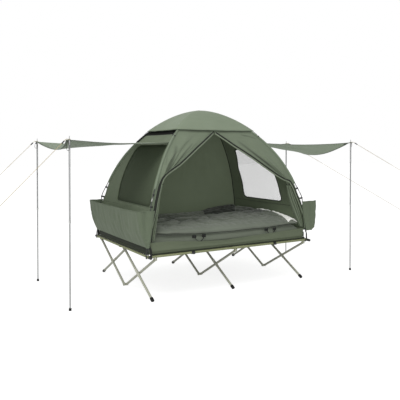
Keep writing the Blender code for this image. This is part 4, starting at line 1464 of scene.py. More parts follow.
@dataclass
class Walls(SubAssembly):
    """The tent's four walls: the door's two front panels, the windows, vents, zips, piping and seams."""

    foot_z: float = 0.547
    vent_z: float = 1.574
    top_share: float = 0.10
    thickness: float = 0.003
    pole_gap: float = 0.0064
    peak: tuple[float, float] = (-0.033, 1.588)
    door: dict[Side, tuple[tuple[float, float], ...]] = field(default_factory=lambda: {
        Side.LEFT: ((0.545, -0.934), (0.607, -0.925), (0.685, -0.908), (0.762, -0.882), (0.839, -0.855),
                    (0.917, -0.832), (0.997, -0.806), (1.076, -0.775), (1.125, -0.746), (1.165, -0.704),
                    (1.187, -0.668), (1.215, -0.616), (1.252, -0.546), (1.314, -0.453), (1.424, -0.293),
                    (1.588, -0.033)),
        Side.RIGHT: ((0.545, 0.940), (0.693, 0.924), (0.838, 0.872), (0.983, 0.822), (1.045, 0.790),
                     (1.062, 0.772), (1.066, 0.742), (1.096, 0.678), (1.139, 0.603), (1.234, 0.465),
                     (1.328, 0.334), (1.452, 0.145), (1.588, -0.033)),
    })
    ties: dict[Side, tuple[float, float]] = field(default_factory=lambda: {
        Side.LEFT: (-0.790, 1.110), Side.RIGHT: (0.776, 1.062),
    })
    folds: dict[Side, tuple[tuple[float, float, float], ...]] = field(default_factory=lambda: {
        Side.LEFT: ((7.0, 1.8, 0.018), (12.0, 2.4, 0.022), (20.0, 3.6, 0.020), (36.0, 8.0, 0.014)),
        Side.RIGHT: ((6.0, 1.8, 0.014), (12.0, 4.0, 0.024), (26.0, 8.0, 0.012)),
    })
    # Painted shade along the deep folds beside the zip; each side's last line is the cap hem's shadow,
    # painted along the panel's top
    grooves: dict[Side, tuple[Groove, ...]] = field(default_factory=lambda: {
        Side.LEFT: (
            Groove(0.008, 0.95, 0.02, ((-0.715, 1.165), (-0.661, 1.208), (-0.614, 1.249), (-0.553, 1.306),
                                       (-0.480, 1.372), (-0.393, 1.440), (-0.340, 1.480))),
            Groove(0.014, 0.85, 0.05, ((-0.728, 1.150), (-0.704, 1.190), (-0.653, 1.265), (-0.599, 1.343),
                                       (-0.534, 1.458))),
            Groove(0.009, 0.75, 0.02, ((-0.040, 1.611), (-0.195, 1.610), (-0.452, 1.607))),
        ),
        Side.RIGHT: (
            Groove(0.015, 1.00, 0.40, ((0.694, 1.132), (0.665, 1.158), (0.601, 1.214), (0.536, 1.263),
                                       (0.430, 1.343),
                                       (0.352, 1.408), (0.296, 1.456), (0.220, 1.510))),
            Groove(0.007, 0.60, 0.30, ((0.297, 1.578), (0.392, 1.564), (0.496, 1.533))),
            Groove(0.009, 0.75, 0.02, ((-0.040, 1.611), (0.250, 1.613), (0.447, 1.604))),
        ),
    })
    openings: dict[Side, Opening] = field(default_factory=lambda: {
        Side.LEFT: Opening(((-0.612, 0.868), (0.268, 0.868), (0.325, 1.240), (0.345, 1.466), (-0.392, 1.466),
                            (-0.512, 1.240))),
        Side.RIGHT: Opening(((-0.347, 0.822), (0.402, 0.822), (0.362, 1.190), (0.222, 1.415),
                             (-0.320, 1.415))),
    })

    seam_z: dict[Side, float] = field(default_factory=lambda: {Side.LEFT: 0.835, Side.RIGHT: 0.782})

    def build(self) -> None:
        """Makes all the walls."""
        panels = {side: self.front_panel(side) for side in Side}
        self.door_edges(panels)
        self.back_wall()
        for side in Side:
            self.end_wall(side)
        self.corner_tapes()

    def door_x(self, side: Side, z: float) -> float:
        """The door's edge on that side at a height, and above its peak the seam."""
        peak_x, peak_z = self.peak
        if z >= peak_z:
            return peak_x * TENT.share_at(z) / TENT.share_at(peak_z)
        return between(z, self.door[side])

    @staticmethod
    def wide(side: Side, z: float) -> float:
        """1 where the left door edge's trims are at their full width, below its tie, and 0 elsewhere."""
        return min(1.0, max(0.0, (1.15 - z) / 0.10)) if side is Side.LEFT else 0.0

    def trim_reach(self, side: Side, z: float) -> float:
        """How far the trims reach in from the door's edge at a height."""
        return 0.030 + 0.006 * self.wide(side, z)

    def crease(self, side: Side, x: float, z: float) -> float:
        """How far the front panel stands out in the pull folds that fan out from its tie.

        Args:
            side: Which panel.
            x: Where across.
            z: How high.

        Returns:
            The height of the folds there.
        """
        tie_x, tie_z = self.ties[side]
        peak_x, peak_z = self.peak
        dx, dz = (x - tie_x) * -side.value, z - tie_z
        reach = math.hypot(dx, dz)
        edge = math.atan2(peak_z - tie_z, abs(peak_x - tie_x))
        turn = math.degrees(math.atan2(dz, dx) - edge)
        height = 0.0
        for angle, width, depth in self.folds[side]:
            bend = angle * (1 + 0.25 * math.sin(6 * reach + angle))
            ridge = (turn - bend) / width
            ridge = ridge * (1.9 if ridge < 0 else 0.75)
            height += depth * math.exp(-ridge * ridge) * math.exp(-((reach / (0.50 + 0.006 * angle)) ** 2))
        height *= min(1.0, reach / 0.10)
        slack = (0.003 + crumple((x * 1.4, side.value, z * 0.6), 0.16, 0.009)
                 + crumple((x, 3, z), 0.06, 0.0016))
        return max(0.0, height + slack)

    def front_panel(self, side: Side) -> bpy.types.Object:
        """One front panel, from its pole to the door's edge and up to the vent.

        Args:
            side: Which one.

        Returns:
            The piece.
        """
        rows = []
        top = TENT.height_at(self.top_share)
        heights = [*spread(self.foot_z, self.peak[1], 130), *spread(self.peak[1], top, 14)[1:]]
        for z in heights:
            pole = side.value * (TENT.share_at(z) * TENT.corner_x - 0.0004)
            edge = self.door_x(side, z)
            row = []
            for w in spread(0, 1, 110):
                x = pole + (edge - pole) * w
                free = (1 - w) * abs(edge - pole) - self.trim_reach(side, z)
                hold = min(1.0, w / 0.05) * min(1.0, max(0.0, free / 0.022))
                row.append(TENT.wall("front", x / (TENT.share_at(z) * TENT.corner_x), z,
                                     self.crease(side, x, z) * hold))
            rows.append(row)
        panel = grid_piece(f"front_panel_{side.word}", rows, flip=side is Side.RIGHT)
        return thickened(panel, self.thickness)

    def groove_tone(self, panel: bpy.types.Object, side: Side) -> None:
        """Paints shade on the deep folds beside the zip, and the cap hem's shadow along the panel's top.

        Args:
            panel: The front panel.
            side: Which panel it is.
        """
        places = [Vector((vertex.co.x, vertex.co.z)) for vertex in panel.data.vertices]
        values = [min(1.0, sum(groove.tone(place) for groove in self.grooves[side])) for place in places]
        mark_tone(panel, values)

    def door_edges(self, panels: dict[Side, bpy.types.Object]) -> None:
        """The zip and the pale flap edge along each side of the door, and the seam above its peak."""
        for side in Side:
            heights = [*spread(0.560, 1.02, 24), *spread(1.03, 1.22, 24), *spread(1.24, 1.582, 24)]
            edge = [(self.door_x(side, z), z) for z in heights]
            trims = []
            for name, insets, widths, thickness, finish in (
                ("door_flap", (0.0050, 0.0028), (0.0115, 0.0055), 0.0042, PIPING),
                # Below the left tie the zip's black tape is drawn wider, so that it also paints the shadow
                # beside the flap.
                ("door_zip", (0.0190, 0.0205), (0.0160, 0.0300), 0.0040, ZIP),
                ("door_seam", (0.0310, 0.0390), (0.0060, 0.0060), 0.0052, CANVAS_HEM),
            ):
                points, acrosses, sizes = [], [], []
                for k, (x, z) in enumerate(edge):
                    before, after = edge[max(k - 1, 0)], edge[min(k + 1, len(edge) - 1)]
                    way = Vector((after[0] - before[0], 0, after[1] - before[1])).normalized()
                    across = Vector((-way.z, 0, way.x)) * -side.value
                    share = TENT.share_at(z)
                    wide = self.wide(side, z)
                    inset = insets[0] + (insets[1] - insets[0]) * wide
                    width = widths[0] + (widths[1] - widths[0]) * wide
                    sizes.append(width)
                    room = max(0.0, TENT.share_at(z) * TENT.corner_x - abs(x) - width / 2) + 0.001
                    spot = Vector((x, 0, z)) - (across * min(inset, room)
                                                * (1 if across.x * side.value < 0 else -1))
                    points.append(Vector((spot.x, -share * TENT.corner_y - thickness / 2 - 0.0002, spot.z)))
                    acrosses.append(across)
                piece = strap(f"{name}_{side.word}", points, acrosses, sizes, thickness)
                trims.append(self.put(piece, finish, "tent_cloth", soft=True))
            self.groove_tone(panels[side], side)
            panel = self.put(panels[side], CANVAS_FRONT, "tent_cloth", nodes=["front_wall"], soft=True)
            self.cloth(panel, "stretched", ["tent_floor"], trims)
        seam = []
        for z in spread(self.peak[1], TENT.height_at(self.top_share) - 0.01, 16):
            share = TENT.share_at(z)
            seam.append((self.door_x(Side.LEFT, z), -share * TENT.corner_y - 0.0045, z))
        self.put(strap("front_seam", seam, Vector((1, 0, 0)), 0.012, 0.002), TAPE, "tent_cloth", soft=True)

    def back_wall(self) -> None:
        """The back wall, with long shallow drapes."""
        rows = []
        for z in spread(self.foot_z, TENT.height_at(self.top_share), 70):
            row = []
            for along in spread(-1, 1, 72):
                a = TENT.share_at(z) * TENT.corner_x
                wave = (crumple((along * 2.2, 7, z * 0.5), 0.30, 0.007)
                        + crumple((along * 3, 9, z), 0.09, 0.0012))
                hold = min(1.0, (1 - abs(along)) / 0.06)
                row.append(TENT.wall("back", along * (1 - 0.0004 / a), z, -abs(wave) * hold))
            rows.append(row)
        wall = thickened(grid_piece("back_panel", rows, flip=True), self.thickness)
        self.put(wall, CANVAS_DARK, "tent_cloth", nodes=["back_wall"], soft=True)
        self.cloth(wall, "stretched", ["tent_floor"])

    def spot(self, side: Side, y: float, z: float, out: float) -> Vector:
        """A point on an end wall from its place in (y, z)."""
        half = TENT.share_at(z) * TENT.corner_y
        along = max(-1.0, min(1.0, y / half))
        return TENT.wall(side.word, along, z, out)

    def end_wall(self, side: Side) -> None:
        """An end wall round its window, the window, its binding and zip, and the vent's mesh.

        Args:
            side: Which end.
        """
        window = self.openings[side]
        middle_y, middle_z = window.middle()
        border = self.border()
        even, sizes = window.radii()
        rows = []
        for share in (0.0, 0.08, 0.18, 0.30, 0.43, 0.56, 0.69, 0.81, 0.91, 1.0):
            row = []
            for y, z in border:
                dy, dz = y - middle_y, z - middle_z
                far = math.hypot(dy, dz)
                near = float(np.interp(math.atan2(dz, dy), even, sizes)) / far
                scale = 1 + (near - 1) * share
                at_y, at_z = middle_y + dy * scale, middle_z + dz * scale
                ripple = (crumple((at_y * 2.0, side.value * 4, at_z * 0.7), 0.15, 0.006)
                          * math.sin(math.pi * share))
                row.append(self.spot(side, at_y, at_z, -abs(ripple)))
            rows.append(row)
        wall = grid_piece(f"end_panel_{side.word}", rows, flip=side is Side.LEFT, closed=True,
                          lay=lambda p: (p[1], p[2]))
        thickened(wall, self.thickness)
        fill_rows = []
        for share in (1.0, 0.85, 0.65, 0.45, 0.25, 0.08):
            row = []
            for y, z in window.outline(96, 0.006):
                at_y, at_z = middle_y + (y - middle_y) * share, middle_z + (z - middle_z) * share
                belly = crumple((at_y, side.value * 6, at_z), 0.22, 0.004) * (1 - share ** 4)
                row.append(self.spot(side, at_y, at_z, -0.0012 - abs(belly)))
            fill_rows.append(row)
        fill = grid_piece(f"window_{side.word}", fill_rows, flip=side is Side.LEFT, closed=True,
                          last_cap=True,
                          lay=lambda p: (p[1], p[2]))
        thickened(fill, 0.0008)
        trims = [self.put(fill, MESH if side is Side.LEFT else FILM, "tent_cloth", soft=True)]
        binding = CANVAS_END if side is Side.LEFT else TAPE
        for name, grow, out, radius, finish in (
            ("window_binding_out", 0.004, 0.0010, 0.0065, binding),
            ("window_binding_in", 0.004, -0.0042, 0.0065, TAPE),
        ):
            ring = [self.spot(side, y, z, out) for y, z in window.outline(160, grow)]
            piece = tube(f"{name}_{side.word}", [*ring, ring[0]], radius, 8, squeeze=0.45)
            trims.append(self.put(piece, finish, "tent_cloth", soft=True))
        seam = [self.spot(side, y, self.seam_z[side], -0.0046) for y in spread(-0.630, 0.630, 60)]
        piece = tube(f"wall_seam_in_{side.word}", seam, 0.0042, 8, squeeze=0.45)
        trims.append(self.put(piece, ZIP, "tent_cloth", soft=True))
        rows = []
        for z in spread(self.vent_z - 0.004, TENT.height_at(self.top_share), 12):
            rows.append([TENT.wall(side.word, along, z, -0.0008) for along in spread(-0.985, 0.985, 30)])
        vent = thickened(grid_piece(f"vent_mesh_{side.word}", rows, flip=side is Side.LEFT), 0.0012)
        trims.append(self.put(vent, VENT_MESH, "tent_cloth", soft=True))
        # The right end takes the darker, dimmer copy of the cloth: painted shade.
        finish = CANVAS_END if side is Side.LEFT else CANVAS_SHADED_END
        self.put(wall, finish, "tent_cloth", nodes=[f"end_wall_{side.word}"], soft=True)
        self.cloth(wall, "stretched", ["tent_floor"], trims)

    def border(self) -> list[tuple[float, float]]:
        """Points round an end wall in (y, z), anticlockwise from its bottom left."""
        points = []
        low, high = self.foot_z, self.vent_z

        def half(z: float) -> float:
            return TENT.share_at(z) * TENT.corner_y - self.pole_gap

        points += [(half(low) * w, low) for w in spread(-1, 1, 29)[:-1]]
        points += [(half(z), z) for z in spread(low, high, 25)[:-1]]
        points += [(half(high) * w, high) for w in spread(1, -1, 15)[:-1]]
        points += [(-half(z), z) for z in spread(high, low, 25)[:-1]]
        return points

    def corner_tapes(self) -> None:
        """The dark seam tape inside each of the tent's corners."""
        for x_sign, end in ((-1, "left"), (1, "right")):
            for y_sign, half in ((-1, "front"), (1, "back")):
                points = []
                for z in spread(0.556, 1.80, 60):
                    share = TENT.share_at(z)
                    points.append((x_sign * (share * TENT.corner_x - 0.011),
                                   y_sign * (share * TENT.corner_y - 0.009), z))
                tape = strap(f"corner_tape_{end}_{half}", points, Vector((x_sign, -y_sign * 1.0, 0)), 0.011,
                             0.0012)
                self.put(tape, TAPE, "tent_cloth", soft=True)


@dataclass
class RoofCap(SubAssembly):
    """The rain cap over the vent, stretched on the poles, with its hem and corner toggles."""

    share: float = 0.507
    offset: float = 0.027
    droop: float = 0.004
    thickness: float = 0.002
    tie_z: float = 1.560

    def point(self, share: float, corner: int, w: float, out: float = 0.0) -> Vector:
        """A point on the cap.

        Args:
            share: How far out.
            corner: Which of its four sides.
            w: From 0 to 1 along that side.
            out: How far outside.

        Returns:
            The point.
        """
        z = TENT.height_at(share, self.offset)
        a, b = share * TENT.corner_x, share * TENT.corner_y
        corners = ((-a, -b), (a, -b), (a, b), (-a, b))
        (xa, ya), (xb, yb) = corners[corner], corners[(corner + 1) % 4]
        sag = self.droop * math.sin(math.pi * w) * (share / self.share) ** 2
        x, y = xa + (xb - xa) * w, ya + (yb - ya) * w
        size = max(math.hypot(x, y), 1e-6)
        edge = (share / self.share) ** 3
        ripple = crumple((x * 0.8, y * 0.8, 11), 0.10, 0.004) * edge * math.sin(math.pi * w)
        return Vector((x * (1 + out / size), y * (1 + out / size), z - sag + ripple + out * 0.4))

    def build(self) -> None:
        """Makes the cap, its hem, the black cord of painted shadow under the hem, and its toggles."""
        steps = 22
        rows = []
        for share in [0.004, *spread(0.03, self.share, 26)]:
            rows.append([self.point(share, side, k / steps) for side in range(4) for k in range(steps)])
        cap = grid_piece("rain_cap", rows, flip=True, closed=True, first_cap=True,
                         lay=lambda p: (p[0], p[1] * 1.1))
        thickened(cap, self.thickness, 1.0)
        ring = [self.point(self.share, side, k / steps, 0.0016) for side in range(4) for k in range(steps)]
        ring = [p - Vector((0, 0, 0.001)) for p in ring]
        hem = tube("cap_hem", [*ring, ring[0]], 0.0042, 8, squeeze=0.8)
        trims = [self.put(hem, CANVAS_HEM, "tent_cloth", soft=True)]
        # A black cord just under the cap's hem all round: painted shadow of the hem.
        under = [self.point(self.share - 0.010, side, k / steps) for side in range(4) for k in range(steps)]
        under = [p - Vector((0, 0, 0.012)) for p in under]
        hem_shadow = tube("cap_lace", [*under, under[0]], 0.0032, 8)
        trims.append(self.put(hem_shadow, WEBBING, "tent_cloth", soft=True))
        for corner, word in enumerate(("left_front", "right_front", "right_back", "left_back")):
            trims += self.corner_tie(corner, word)
        self.put(cap, CANVAS_CAP, "tent_cloth", nodes=["roof_cap"], soft=True)
        self.cloth(cap, "stretched", ["arch_rod_a"], trims)

    def corner_tie(self, corner: int, word: str) -> list[bpy.types.Object]:
        """An elastic tie from a cap corner down to its toggle on the pole.

        Args:
            corner: Which corner.
            word: Its name.

        Returns:
            The tie and the toggle.
        """
        start = self.point(self.share, corner, 0.0)
        outward = Vector((start.x, start.y, 0)).normalized()
        z = self.tie_z
        r = TENT.share_at(z)
        end = Vector((math.copysign(r * TENT.corner_x, start.x),
                      math.copysign(r * TENT.corner_y, start.y), z))
        end += outward * 0.018
        path = smooth_path([start - outward * 0.004, start.lerp(end, 0.5) + outward * 0.004, end], 6)
        tie = self.put(tube(f"cap_tie_{word}", path, 0.0018, 8), WEBBING, soft=True)
        toggle = waisted_toggle(0.0082, 0.032, 0.0018, 0.0012)
        toggle.data.transform(facing(end, (outward.y, -outward.x, 0.4), outward))
        toggle = in_place(toggle, f"cap_toggle_{word}")
        return [tie, self.put(toggle, NYLON, soft=True)]


@dataclass
class ArchPoles(SubAssembly):
    """The fibreglass arch poles, the sleeves that carry them, their clips and their foot loops."""

    radius: float = 0.0045
    butt_z: float = 0.438
    sleeve: tuple[float, float] = (1.04, 1.642)
    bare_z: float = 1.492
    band_radius: float = 0.0102
    sleeve_radius: float = 0.0112
    clip_z: tuple[float, ...] = (0.882, 0.989)
    loop_z: float = 0.500
    web_width: float = 0.021
    web_width_covered: float = 0.013
    webs: tuple[tuple[Point, tuple[Point, ...]], ...] = (
        ((0, 1, 0), ((0.950, 0.672, 0.548), (0.962, 0.676, 0.520), (0.9715, 0.680, 0.480),
                     (0.9745, 0.682, 0.436),
                     (0.9745, 0.682, 0.404))),
        ((1, 0, 0), ((0.948, 0.690, 0.520), (0.944, 0.712, 0.490), (0.940, 0.7150, 0.450),
                     (0.936, 0.7065, 0.425),
                     (0.934, 0.7045, 0.404))),
    )

    def build(self) -> None:
        """Makes the poles and what holds them."""
        for name, turn, rise in (("a", 1, 0.0), ("b", -1, 0.010)):
            points = TENT.pole(turn, rise, 121, -1.0, 1.0)
            for end in (0, -1):
                points[end].z = self.butt_z
            rod_piece = tube(f"arch_rod_{name}", points, self.radius, 12)
            self.put(rod_piece, FIBREGLASS, "glass_fibre", nodes=[f"arch_pole_{name}"], soft=True)
            self.ferrules(name, points)
            dense = TENT.pole(turn, rise, 1201, -1.0, 1.0)
            half = len(dense) // 2
            for end, path in (("left", dense[:half]), ("right", dense[:half:-1])):
                depth = "front" if (turn > 0) == (end == "left") else "back"
                self.sleeve_and_clips(f"{end}_{depth}", path)

    def ferrules(self, name: str, points: list[Vector]) -> None:
        """The steel ferrules between a pole's sections."""
        for k, at in enumerate((12, 33, 60, 87, 108)):
            way = (points[at + 1] - points[at - 1]).normalized()
            path = [points[at] - way * 0.020, points[at] + way * 0.020]
            piece = tube(f"arch_ferrule_{name}_{k}", path, self.radius + 0.0010, 12)
            self.put(piece, SPRING_STEEL if k in (0, 4) else DARK_STEEL, "glass_fibre", soft=True)

    def sleeve_and_clips(self, word: str, path: list[Vector]) -> None:
        """The sleeve over one quarter of a pole, its clips below, and the webbing at its foot.

        Args:
            word: The quarter's name.
            path: The pole's points, from its foot up.
        """
        low, high = self.sleeve
        if word == "left_back":
            high = self.bare_z
        inside = [p for p in path if low <= p.z <= high][::6]
        sleeve_path = []
        for k, p in enumerate(inside):
            inward = Vector((-p.x, -p.y, 0)).normalized()
            sleeve_path.append(p + inward * 0.0042 + Vector((0, 0, crumple(p, 0.05, 0.0004))))
        radii = [self.sleeve_radius * (0.86 + 0.14 * min(1.0, k / 4, (len(inside) - 1 - k) / 4)
                                       + crumple((k * 0.21, 0, 0), 1.0, 0.10)) for k in range(len(inside))]
        piece = tube(f"pole_sleeve_{word}", sleeve_path, radii, 14)
        self.put(piece, CANVAS_SLEEVE, "tent_cloth", soft=True)
        if word == "left_back":
            bare = [p + Vector((-p.x, -p.y, 0)).normalized() * 0.0030 for p in path
                    if self.bare_z + 0.004 <= p.z <= self.sleeve[1]][::6]
            band = tube(f"pole_band_{word}", bare, self.band_radius, 14)
            self.put(band, WEBBING, "tent_cloth", soft=True)
        for number, z in enumerate(self.clip_z):
            self.clip(f"pole_clip_{word}_{number}", path, z)
        foot = next(p for p in path if p.z >= self.loop_z)
        self.corner_loop(word, foot)

    def clip(self, name: str, path: list[Vector], z: float) -> None:
        """A plastic clip: a ring round the pole and a tab sewn to the tent's corner.

        Args:
            name: The piece's name.
            path: The pole's points, from its foot up.
            z: The clip's height.
        """
        at = next(k for k, p in enumerate(path) if p.z >= z)
        spot, way = path[at], (path[at + 1] - path[at - 1]).normalized()
        inward = Vector((-spot.x, -spot.y, 0)).normalized()
        share = TENT.share_at(z)
        length = math.hypot(spot.x, spot.y) - share * math.hypot(TENT.corner_x, TENT.corner_y)
        ring = soften(collar(0.0078, 0.0050, 0.014, 0.0006, 16), 0.0008)
        tab = block((length, 0.005, 0.018))
        pick_faces(tab, lambda middle, normal: normal.x > 0.9)
        bpy.ops.mesh.inset(thickness=0.0012)
        bpy.ops.mesh.extrude_region_move(TRANSFORM_OT_translate={"value": (0.006, 0, 0)})
        bpy.ops.transform.resize(value=(1, 0.6, 1.5))
        bpy.ops.object.mode_set(mode="OBJECT")
        soften(tab, 0.0010)
        tab.data.transform(Matrix.Translation((0.0050 + length / 2, 0, 0)))
        clip = joined(name, [ring, tab])
        clip.data.transform(facing(spot, way, inward))
        self.put(in_place(clip, name), NYLON, soft=True)

    def corner_loop(self, word: str, foot: Vector) -> None:
        """Two webbing straps from the tent's bottom corner down to the bed frame.

        Args:
            word: The corner's name.
            foot: A point on the pole near its foot.
        """
        x_sign, y_sign = math.copysign(1, foot.x), math.copysign(1, foot.y)
        for number, (across, spots) in enumerate(self.webs):
            path = smooth_path([(x_sign * x, y_sign * y, z) for x, y, z in spots], 6)
            width = self.web_width_covered if word == "right_front" else self.web_width
            piece = strap(f"corner_web_{word}_{number}", path, Vector(across), width, 0.0022)
            self.put(piece, WEBBING, soft=True)


@dataclass
class Pockets(SubAssembly):
    """The deep pocket across the foot of each end wall, slack at its sides."""

    low_z: float = 0.508
    top_z: float = 0.845
    tuck: tuple[float, float] = (0.953, 0.502)
    inner_x: float = 0.950
    lean: float = 0.058
    half_y: float = 0.702
    taper: float = 0.006
    face_half: float = 0.66
    belly: float = 0.004
    thickness: float = 0.0025
    row_points: int = 90
    sag: dict[Side, float] = field(default_factory=lambda: {Side.LEFT: 0.004, Side.RIGHT: 0.075})
    lift: dict[Side, float] = field(default_factory=lambda: {Side.LEFT: 0.0, Side.RIGHT: 0.022})
    reach: dict[Side, tuple[tuple[float, float], ...]] = field(default_factory=lambda: {
        Side.LEFT: ((0.508, 0.972), (0.55, 0.995), (0.63, 1.028), (0.74, 1.050), (0.845, 1.062)),
        Side.RIGHT: ((0.508, 1.040), (0.524, 1.086), (0.63, 1.103), (0.74, 1.110), (0.845, 1.114)),
    })

    def row(self, side: Side, z: float) -> list[Vector]:
        """The pocket's plan at a height, from the front of the wall round to the back.

        Args:
            side: Which end.
            z: The height.

        Returns:
            The points.
        """
        up = (z - self.low_z) / (self.top_z - self.low_z)
        reach = sum(between(z + step, self.reach[side]) for step in (-0.014, -0.007, 0, 0.007, 0.014)) / 5
        inner, edge = self.inner_x - self.lean * up, self.half_y - self.taper * up
        plan = [(inner, -edge), (reach - 0.024, -edge), (reach - 0.009, 0.005 - edge),
                (reach - 0.003, 0.020 - edge)]
        plan += [(reach + self.belly * (1 - (y / self.face_half) ** 2),
                  y) for y in spread(-self.face_half, self.face_half, 15)]
        plan += [(reach - 0.003, edge - 0.020), (reach - 0.009, edge - 0.005), (reach - 0.024, edge),
                 (inner, edge)]
        flat = np.array(plan)
        steps = np.concatenate([[0.0], np.cumsum(np.linalg.norm(np.diff(flat, axis=0), axis=1))])
        at = np.linspace(0, steps[-1], self.row_points)
        gusset = float(np.linalg.norm(flat[1] - flat[0]))
        points = []
        for s in at:
            x, y = float(np.interp(s, steps, flat[:, 0])), float(np.interp(s, steps, flat[:, 1]))
            near_end = min(s, steps[-1] - s)
            if near_end < gusset:
                inside = math.sin(math.pi * min(1.0, near_end / gusset))
                inside *= math.sin(math.pi * min(1.0, up + 0.12) / 1.6)
                depth = 0.020 * inside * (0.55 + 0.45 * math.sin(38 * near_end / max(gusset, 0.01) * 0.25
                                                                 + 2.2 * up))
                y -= math.copysign(max(depth, 0.0), y)
            else:
                bow = math.sin(math.pi * min(1.0, max(0.0, up)))
                depth = abs(crumple((y * 1.6, side.value * 8, z * 0.45), 0.10, 0.013)) * (0.35 + 0.65 * bow)
                depth += 0.006 * math.exp(-(((abs(y) - 0.615) / 0.022) ** 2)) * bow
                x -= depth
            slack = 1 - (y / edge) ** 4
            if side is Side.RIGHT:
                slack = min(1.0, max(0.0, (y + self.face_half) / 0.24))
            drop = self.sag[side] * max(0.0, up) ** 1.5 * max(0.0, slack)
            points.append(Vector((side.value * x, y, z - drop + self.lift[side] * (1 - up))))
        return points

    def build(self) -> None:
        """Makes both pockets with their bindings."""
        for side in Side:
            heights = [self.low_z, 0.514, 0.522, *spread(0.532, self.top_z, 34)]
            rows = [self.row(side, z) for z in heights]
            tuck_x, tuck_z = self.tuck
            tuck = []
            for p in rows[0]:
                inside = abs(p.y) < self.face_half
                x = side.value * min(abs(p.x), tuck_x) if inside else p.x
                tuck.append(Vector((x, p.y, tuck_z + self.lift[side] + (0.001 if inside else 0))))
            pocket = grid_piece(f"end_pocket_{side.word}", [tuck, *rows], flip=side is Side.LEFT)
            thickened(pocket, self.thickness)
            top = [p + Vector((-side.value * 0.001, 0, 0.0)) for p in rows[-1]]
            binding = tube(f"pocket_binding_{side.word}", top, 0.0036, 8, squeeze=0.7)
            trims = [self.put(binding, CANVAS_POCKET, "pocket_cloth", soft=True)]
            self.put(pocket, CANVAS_POCKET, "pocket_cloth", nodes=[f"pocket_{side.word}"], soft=True)
            self.cloth(pocket, "hung", [f"end_panel_{side.word}"], trims)


@dataclass
class Curtains(SubAssembly):
    """The two halves of the door, gathered in deep pleats and tied back to the front poles."""

    stops: dict[Side, tuple[tuple[float, float], ...]] = field(default_factory=lambda: {
        Side.LEFT: ((0.565, -0.910), (0.68, -0.884), (0.76, -0.862), (0.84, -0.842), (0.92, -0.822),
                    (1.00, -0.798),
                    (1.14, -0.742)),
        Side.RIGHT: ((0.565, 0.915), (0.65, 0.891), (0.742, 0.862), (0.833, 0.832), (0.923, 0.808),
                     (1.03, 0.778),
                     (1.06, 0.768)),
    })
    reach: dict[Side, tuple[tuple[float, float], ...]] = field(default_factory=lambda: {
        Side.LEFT: ((0.565, 0.024), (0.68, 0.025), (0.76, 0.021), (0.84, 0.016), (0.92, 0.013), (1.00, 0.012),
                    (1.14, 0.010)),
        Side.RIGHT: ((0.565, 0.022), (0.65, 0.034), (0.742, 0.040), (0.833, 0.038), (0.923, 0.031),
                     (1.03, 0.018),
                     (1.06, 0.010)),
    })
    flat: float = 0.80
    pleats: float = 3.0
    tie_z: dict[Side, float] = field(default_factory=lambda: {Side.LEFT: 1.09, Side.RIGHT: 1.035})

    def middle(self, side: Side, z: float) -> Vector:
        """The gathered curtain's middle at a height."""
        reach = between(z, self.reach[side])
        return Vector((between(z, self.stops[side]), 0.006 + 0.75 * reach - TENT.share_at(z) * TENT.corner_y,
                       z))

    def build(self) -> None:
        """Makes both curtains and their ties."""
        for side in Side:
            low, high = self.stops[side][0][0], self.stops[side][-1][0]
            rows = []
            for z in spread(low, high, 60):
                centre = self.middle(side, z)
                reach = between(z, self.reach[side]) * (1 + 0.10 * math.sin(7 * z + side.value))
                lean = 0.9 * (z - low) / (high - low)
                row = []
                for s in spread(0, 1, 120):
                    across = 2 * s - 1
                    round_off = math.sqrt(max(0.0, 1 - across * across * 0.82))
                    phase = (2 * math.pi * self.pleats * s + 2.4 * lean
                             + crumple((s * 3, side.value, z * 4), 1.0, 1.2))
                    depth = self.flat * reach * round_off * math.sin(phase)
                    depth *= 0.85 + 0.15 * math.sin(2.1 * phase)
                    row.append(centre + Vector((reach * across * 1.12, depth,
                                                crumple((s * 5, 1, z), 0.4, 0.003))))
                rows.append(row)
            curtain = thickened(grid_piece(f"door_curtain_{side.word}", rows), 0.0012, 0.0)
            self.shade(curtain, side)
            tie = self.tie(side)
            self.put(curtain, CANVAS_CURTAIN, "tent_cloth", nodes=[f"curtain_{side.word}"], soft=True)
            self.cloth(curtain, "gathered", [f"front_panel_{side.word}"], tie)

    def shade(self, curtain: bpy.types.Object, side: Side) -> None:
        """Paints shade in the valleys between a curtain's pleats, where the folded cloth turns from the
        light.
        """
        values = []
        for vertex in curtain.data.vertices:
            z = vertex.co.z
            deep = (vertex.co.y - self.middle(side, z).y) / (self.flat * between(z, self.reach[side]))
            values.append(min(1.0, max(0.0, 0.55 + 0.75 * deep)))
        mark_tone(curtain, values)

    def tie(self, side: Side) -> list[bpy.types.Object]:
        """The strap round a curtain, with its toggle.

        Args:
            side: Which curtain.

        Returns:
            The strap and the toggle.
        """
        z = self.tie_z[side]
        centre = self.middle(side, z)
        reach = between(z, self.reach[side])
        ring = []
        for k in range(33):
            angle = 2 * math.pi * k / 32
            ring.append(centre + Vector((1.22 * reach * math.cos(angle), 0.80 * reach * math.sin(angle),
                                         0.004 * math.sin(angle))))
        band = strap(f"curtain_tie_{side.word}", ring, Vector((0, 0, 1)), 0.018, 0.0020)
        toggle = waisted_toggle(0.0036, 0.020, 0.0010, 0.0010)
        spot = centre + Vector((-side.value * 0.6 * reach, -0.80 * reach - 0.005, 0))
        toggle.data.transform(facing(spot, (1, 0, 0.3), (0, 0, 1)))
        toggle = in_place(toggle, f"curtain_toggle_{side.word}")
        return [self.put(band, TAPE, "tent_cloth", soft=True), self.put(toggle, NYLON_GREEN, soft=True)]


# Bedding


